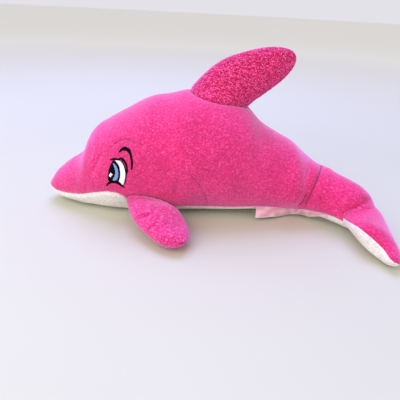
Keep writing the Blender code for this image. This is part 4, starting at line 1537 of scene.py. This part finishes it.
@dataclass
class Studio:
    """Pale level floor, soft lamps from above and the camera at the photo's angle."""

    camera_place: tuple[float, float, float] = (-0.00908, -0.35282, 0.171)
    pitch: float = math.radians(25.0)
    roll: float = math.radians(3.0)
    lens: float = 37.8
    # Floor colours are painted light: the near one is tinted green against the violet window lamp,
    # the far one paler where less lamp light reaches.
    floor_colour: str = "#CBCDBC"
    far_painted_light: str = "#FBF8F2"
    floor_radius: float = 9.0
    floor_rings: int = 39
    floor_spokes: int = 96
    lamp_target: tuple[float, float, float] = (0.0, 0.0, 0.05)
    world_strength: float = 0.8
    sky_colour: str = "#F4F4F7"
    seen_colour: str = "#F5F4FA"
    seen_strength: float = 0.84

    def floor(self) -> None:
        """Make the floor: a level disc, wide enough to reach the horizon."""
        rings, spokes = self.floor_rings, self.floor_spokes
        radius = self.floor_radius * np.linspace(0.0, 1.0, rings + 1)[1:] ** 3
        turn = np.linspace(0.0, 2.0 * math.pi, spokes, endpoint=False)
        grid = np.stack(
            [radius[:, None] * np.cos(turn), radius[:, None] * np.sin(turn),
             np.zeros((rings, spokes))], -1,
        )
        index = np.arange(rings * spokes).reshape(rings, spokes)
        faces = grid_faces(np.concatenate([index, index[:, :1]], axis=1)).tolist()
        faces.append(tuple(index[0].tolist()))
        mesh = bpy.data.meshes.new("studio_floor")
        mesh.from_pydata(grid.reshape(-1, 3).tolist(), [], faces)
        mesh.shade_smooth()
        shading = Shading("matt_backdrop_paper")
        place = shading.add("TexCoord", output="Object")
        away = shading.add("VectorMath", {"operation": "LENGTH"}, {0: place}, "Value")
        # Painted light: the floor pales with distance, so the far floor stays pale up to the
        # horizon.
        tone = shading.mix(shading.span(away, 0.3, 1.6, 0.0, 1.0), self.floor_colour,
                           self.far_painted_light)
        tooth = shading.noise(place, 900.0, 2.0, 0.5)
        mesh.materials.append(shading.finish(tone, tooth, 0.1, 0.1 * MM, Roughness=0.9))
        floor = bpy.data.objects.new("studio_floor", mesh)
        bpy.context.scene.collection.objects.link(floor)

    def stand(
        self, name: str, data: bpy.types.ID, axes: Sequence[Array], place: Sequence[float]
    ) -> bpy.types.Object:
        """Put a lamp or a camera in its place, with its right, up and back vectors."""
        made = bpy.data.objects.new(name, data)
        turn = np.stack([*axes, np.asarray(place)], 1)
        made.matrix_world = Matrix([*turn.tolist(), (0, 0, 0, 1)])
        bpy.context.scene.collection.objects.link(made)
        return made

    def lamp(
        self, name: str, place: tuple[float, float, float], size: float, power: float,
        colour: str,
    ) -> None:
        """Add a soft square lamp that faces the dolphin."""
        data = bpy.data.lights.new(name, "AREA")
        data.shape = "SQUARE"
        data.size = size
        data.energy = power
        data.color = linear(colour)[:3]
        back = unit_vectors(np.asarray(place) - np.array(self.lamp_target))
        right = unit_vectors(np.cross([0.0, 0.3, 1.0], back))
        self.stand(name, data, (right, np.cross(back, right), back), place)

    def lights(self) -> None:
        """Set the world, which the camera sees a little paler than it shines, and lamps."""
        world = bpy.data.worlds.new("soft_room")
        world.use_nodes = True
        tree = world.node_tree
        sky = tree.nodes["Background"]
        sky.inputs["Color"].default_value = linear(self.sky_colour)
        sky.inputs["Strength"].default_value = self.world_strength
        seen = add_node(tree, "ShaderNodeBackground", {"Color": linear(self.seen_colour),
                                                       "Strength": self.seen_strength})
        rays = add_node(tree, "ShaderNodeLightPath").outputs
        direct = rays["Is Camera Ray"]
        for other in ("Is Glossy Ray", "Is Transmission Ray"):
            direct = add_node(tree, "ShaderNodeMath", {"operation": "MAXIMUM"},
                              {0: direct, 1: rays[other]}).outputs[0]
        mixed = add_node(tree, "ShaderNodeMixShader", None,
                         {0: direct, 1: sky.outputs[0], 2: seen.outputs[0]})
        tree.links.new(mixed.outputs[0], tree.nodes["World Output"].inputs["Surface"])
        bpy.context.scene.world = world
        self.lamp("window_lamp", (-0.1, 0.3, 0.9), 0.7, 9.4, "#ABABFF")
        self.lamp("room_lamp", (-0.5, -0.7, 0.6), 0.8, 6.5, "#FFF6EE")

    def camera(self) -> None:
        """Set the camera: level right, tilted up and back vectors, turned by the roll."""
        right = np.array([1.0, 0.0, 0.0])
        up = np.array([0.0, math.sin(self.pitch), math.cos(self.pitch)])
        back = np.array([0.0, -math.cos(self.pitch), math.sin(self.pitch)])
        across = right * math.cos(self.roll) + up * math.sin(self.roll)
        high = up * math.cos(self.roll) - right * math.sin(self.roll)
        data = bpy.data.cameras.new("photo_camera")
        data.lens = self.lens
        data.sensor_width = 36.0
        data.clip_start = 0.01
        bpy.context.scene.camera = self.stand("photo_camera", data, (across, high, back),
                                              self.camera_place)

    def build(self) -> None:
        """Set up the whole studio."""
        self.floor()
        self.lights()
        self.camera()
        bpy.context.scene.view_settings.view_transform = "Standard"


def tail_join(body: Body, fluke: Fin) -> None:
    """Swell the tail and the fluke where they cross, so that one flows into the other.

    For each place across the fluke the crossing is the first and the last angle
    of its upper side, from the rear edge to past the front one, that is inside
    the body.
    """
    share = np.linspace(0.25, 0.75, 121)
    angle = np.linspace(0.1, 1.25 * math.pi, 240)
    inside = body.inside(fluke.point(share[:, None], angle[None, :])) < 0.0
    hit = np.flatnonzero(inside.any(axis=1))
    first = angle[np.argmax(inside[hit], axis=1)]
    last = angle[len(angle) - 1 - np.argmax(inside[hit][:, ::-1], axis=1)]
    path = fluke.point(np.concatenate([share[hit], share[hit][::-1]]),
                       np.concatenate([first, last[::-1]]))
    filled = Groove(-JOIN_SWELL, 5.0, 0.0, 5.0, shade=0.0)
    body.relief.grooves.append((filled, path))
    fluke.relief.grooves.append((filled, path))


def root_seams(body: Body, fins: Sequence[Fin]) -> None:
    """Press the root of each fin into the body and into the fin itself."""
    angle = np.linspace(0.0, 2.0 * math.pi, 73)
    sewn = Groove(0.7, 0.8, 0.1, 4.5, 0.25, 6.5, shade=0.75)
    for fin in fins:
        line = fin.point(fin.root(body, angle), angle)
        fin.relief.grooves.append((sewn, line))
        body.relief.grooves.append((sewn, line))


def clear_start_up() -> None:
    """Remove the objects of the start-up file."""
    for old in list(bpy.data.objects):
        bpy.data.objects.remove(old, do_unlink=True)


def main() -> None:
    """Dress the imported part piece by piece."""
    logging.basicConfig(level=logging.INFO, format="%(name)s: %(message)s")
    clear_start_up()
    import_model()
    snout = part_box("belly_panel")[0]
    left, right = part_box("left_cheek_panel"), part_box("right_cheek_panel")
    shop = Workshop(np.array([snout.x, (left[0].y + right[1].y) / 2.0, 0.0]))

    Studio().build()
    body = Body()
    body.add_seams()
    rooted = [dorsal_fin(), *(flipper(side) for side in Side)]
    fluke = tail_fluke(body)
    root_seams(body, rooted)
    tail_join(body, fluke)
    edge = Groove(0.35, 0.9, 0.0, 4.0, 0.2, 5.0, shade=0.12)
    for fin in (*rooted, fluke):
        fin.edge_seams(edge)

    eyes = [EmbroideredEye(side) for side in Side]
    body.build(shop, eyes[0].pressed)
    for maker in (*rooted, fluke, *eyes, CareLabel()):
        maker.build(shop, body)


if __name__ == "__main__":
    main()
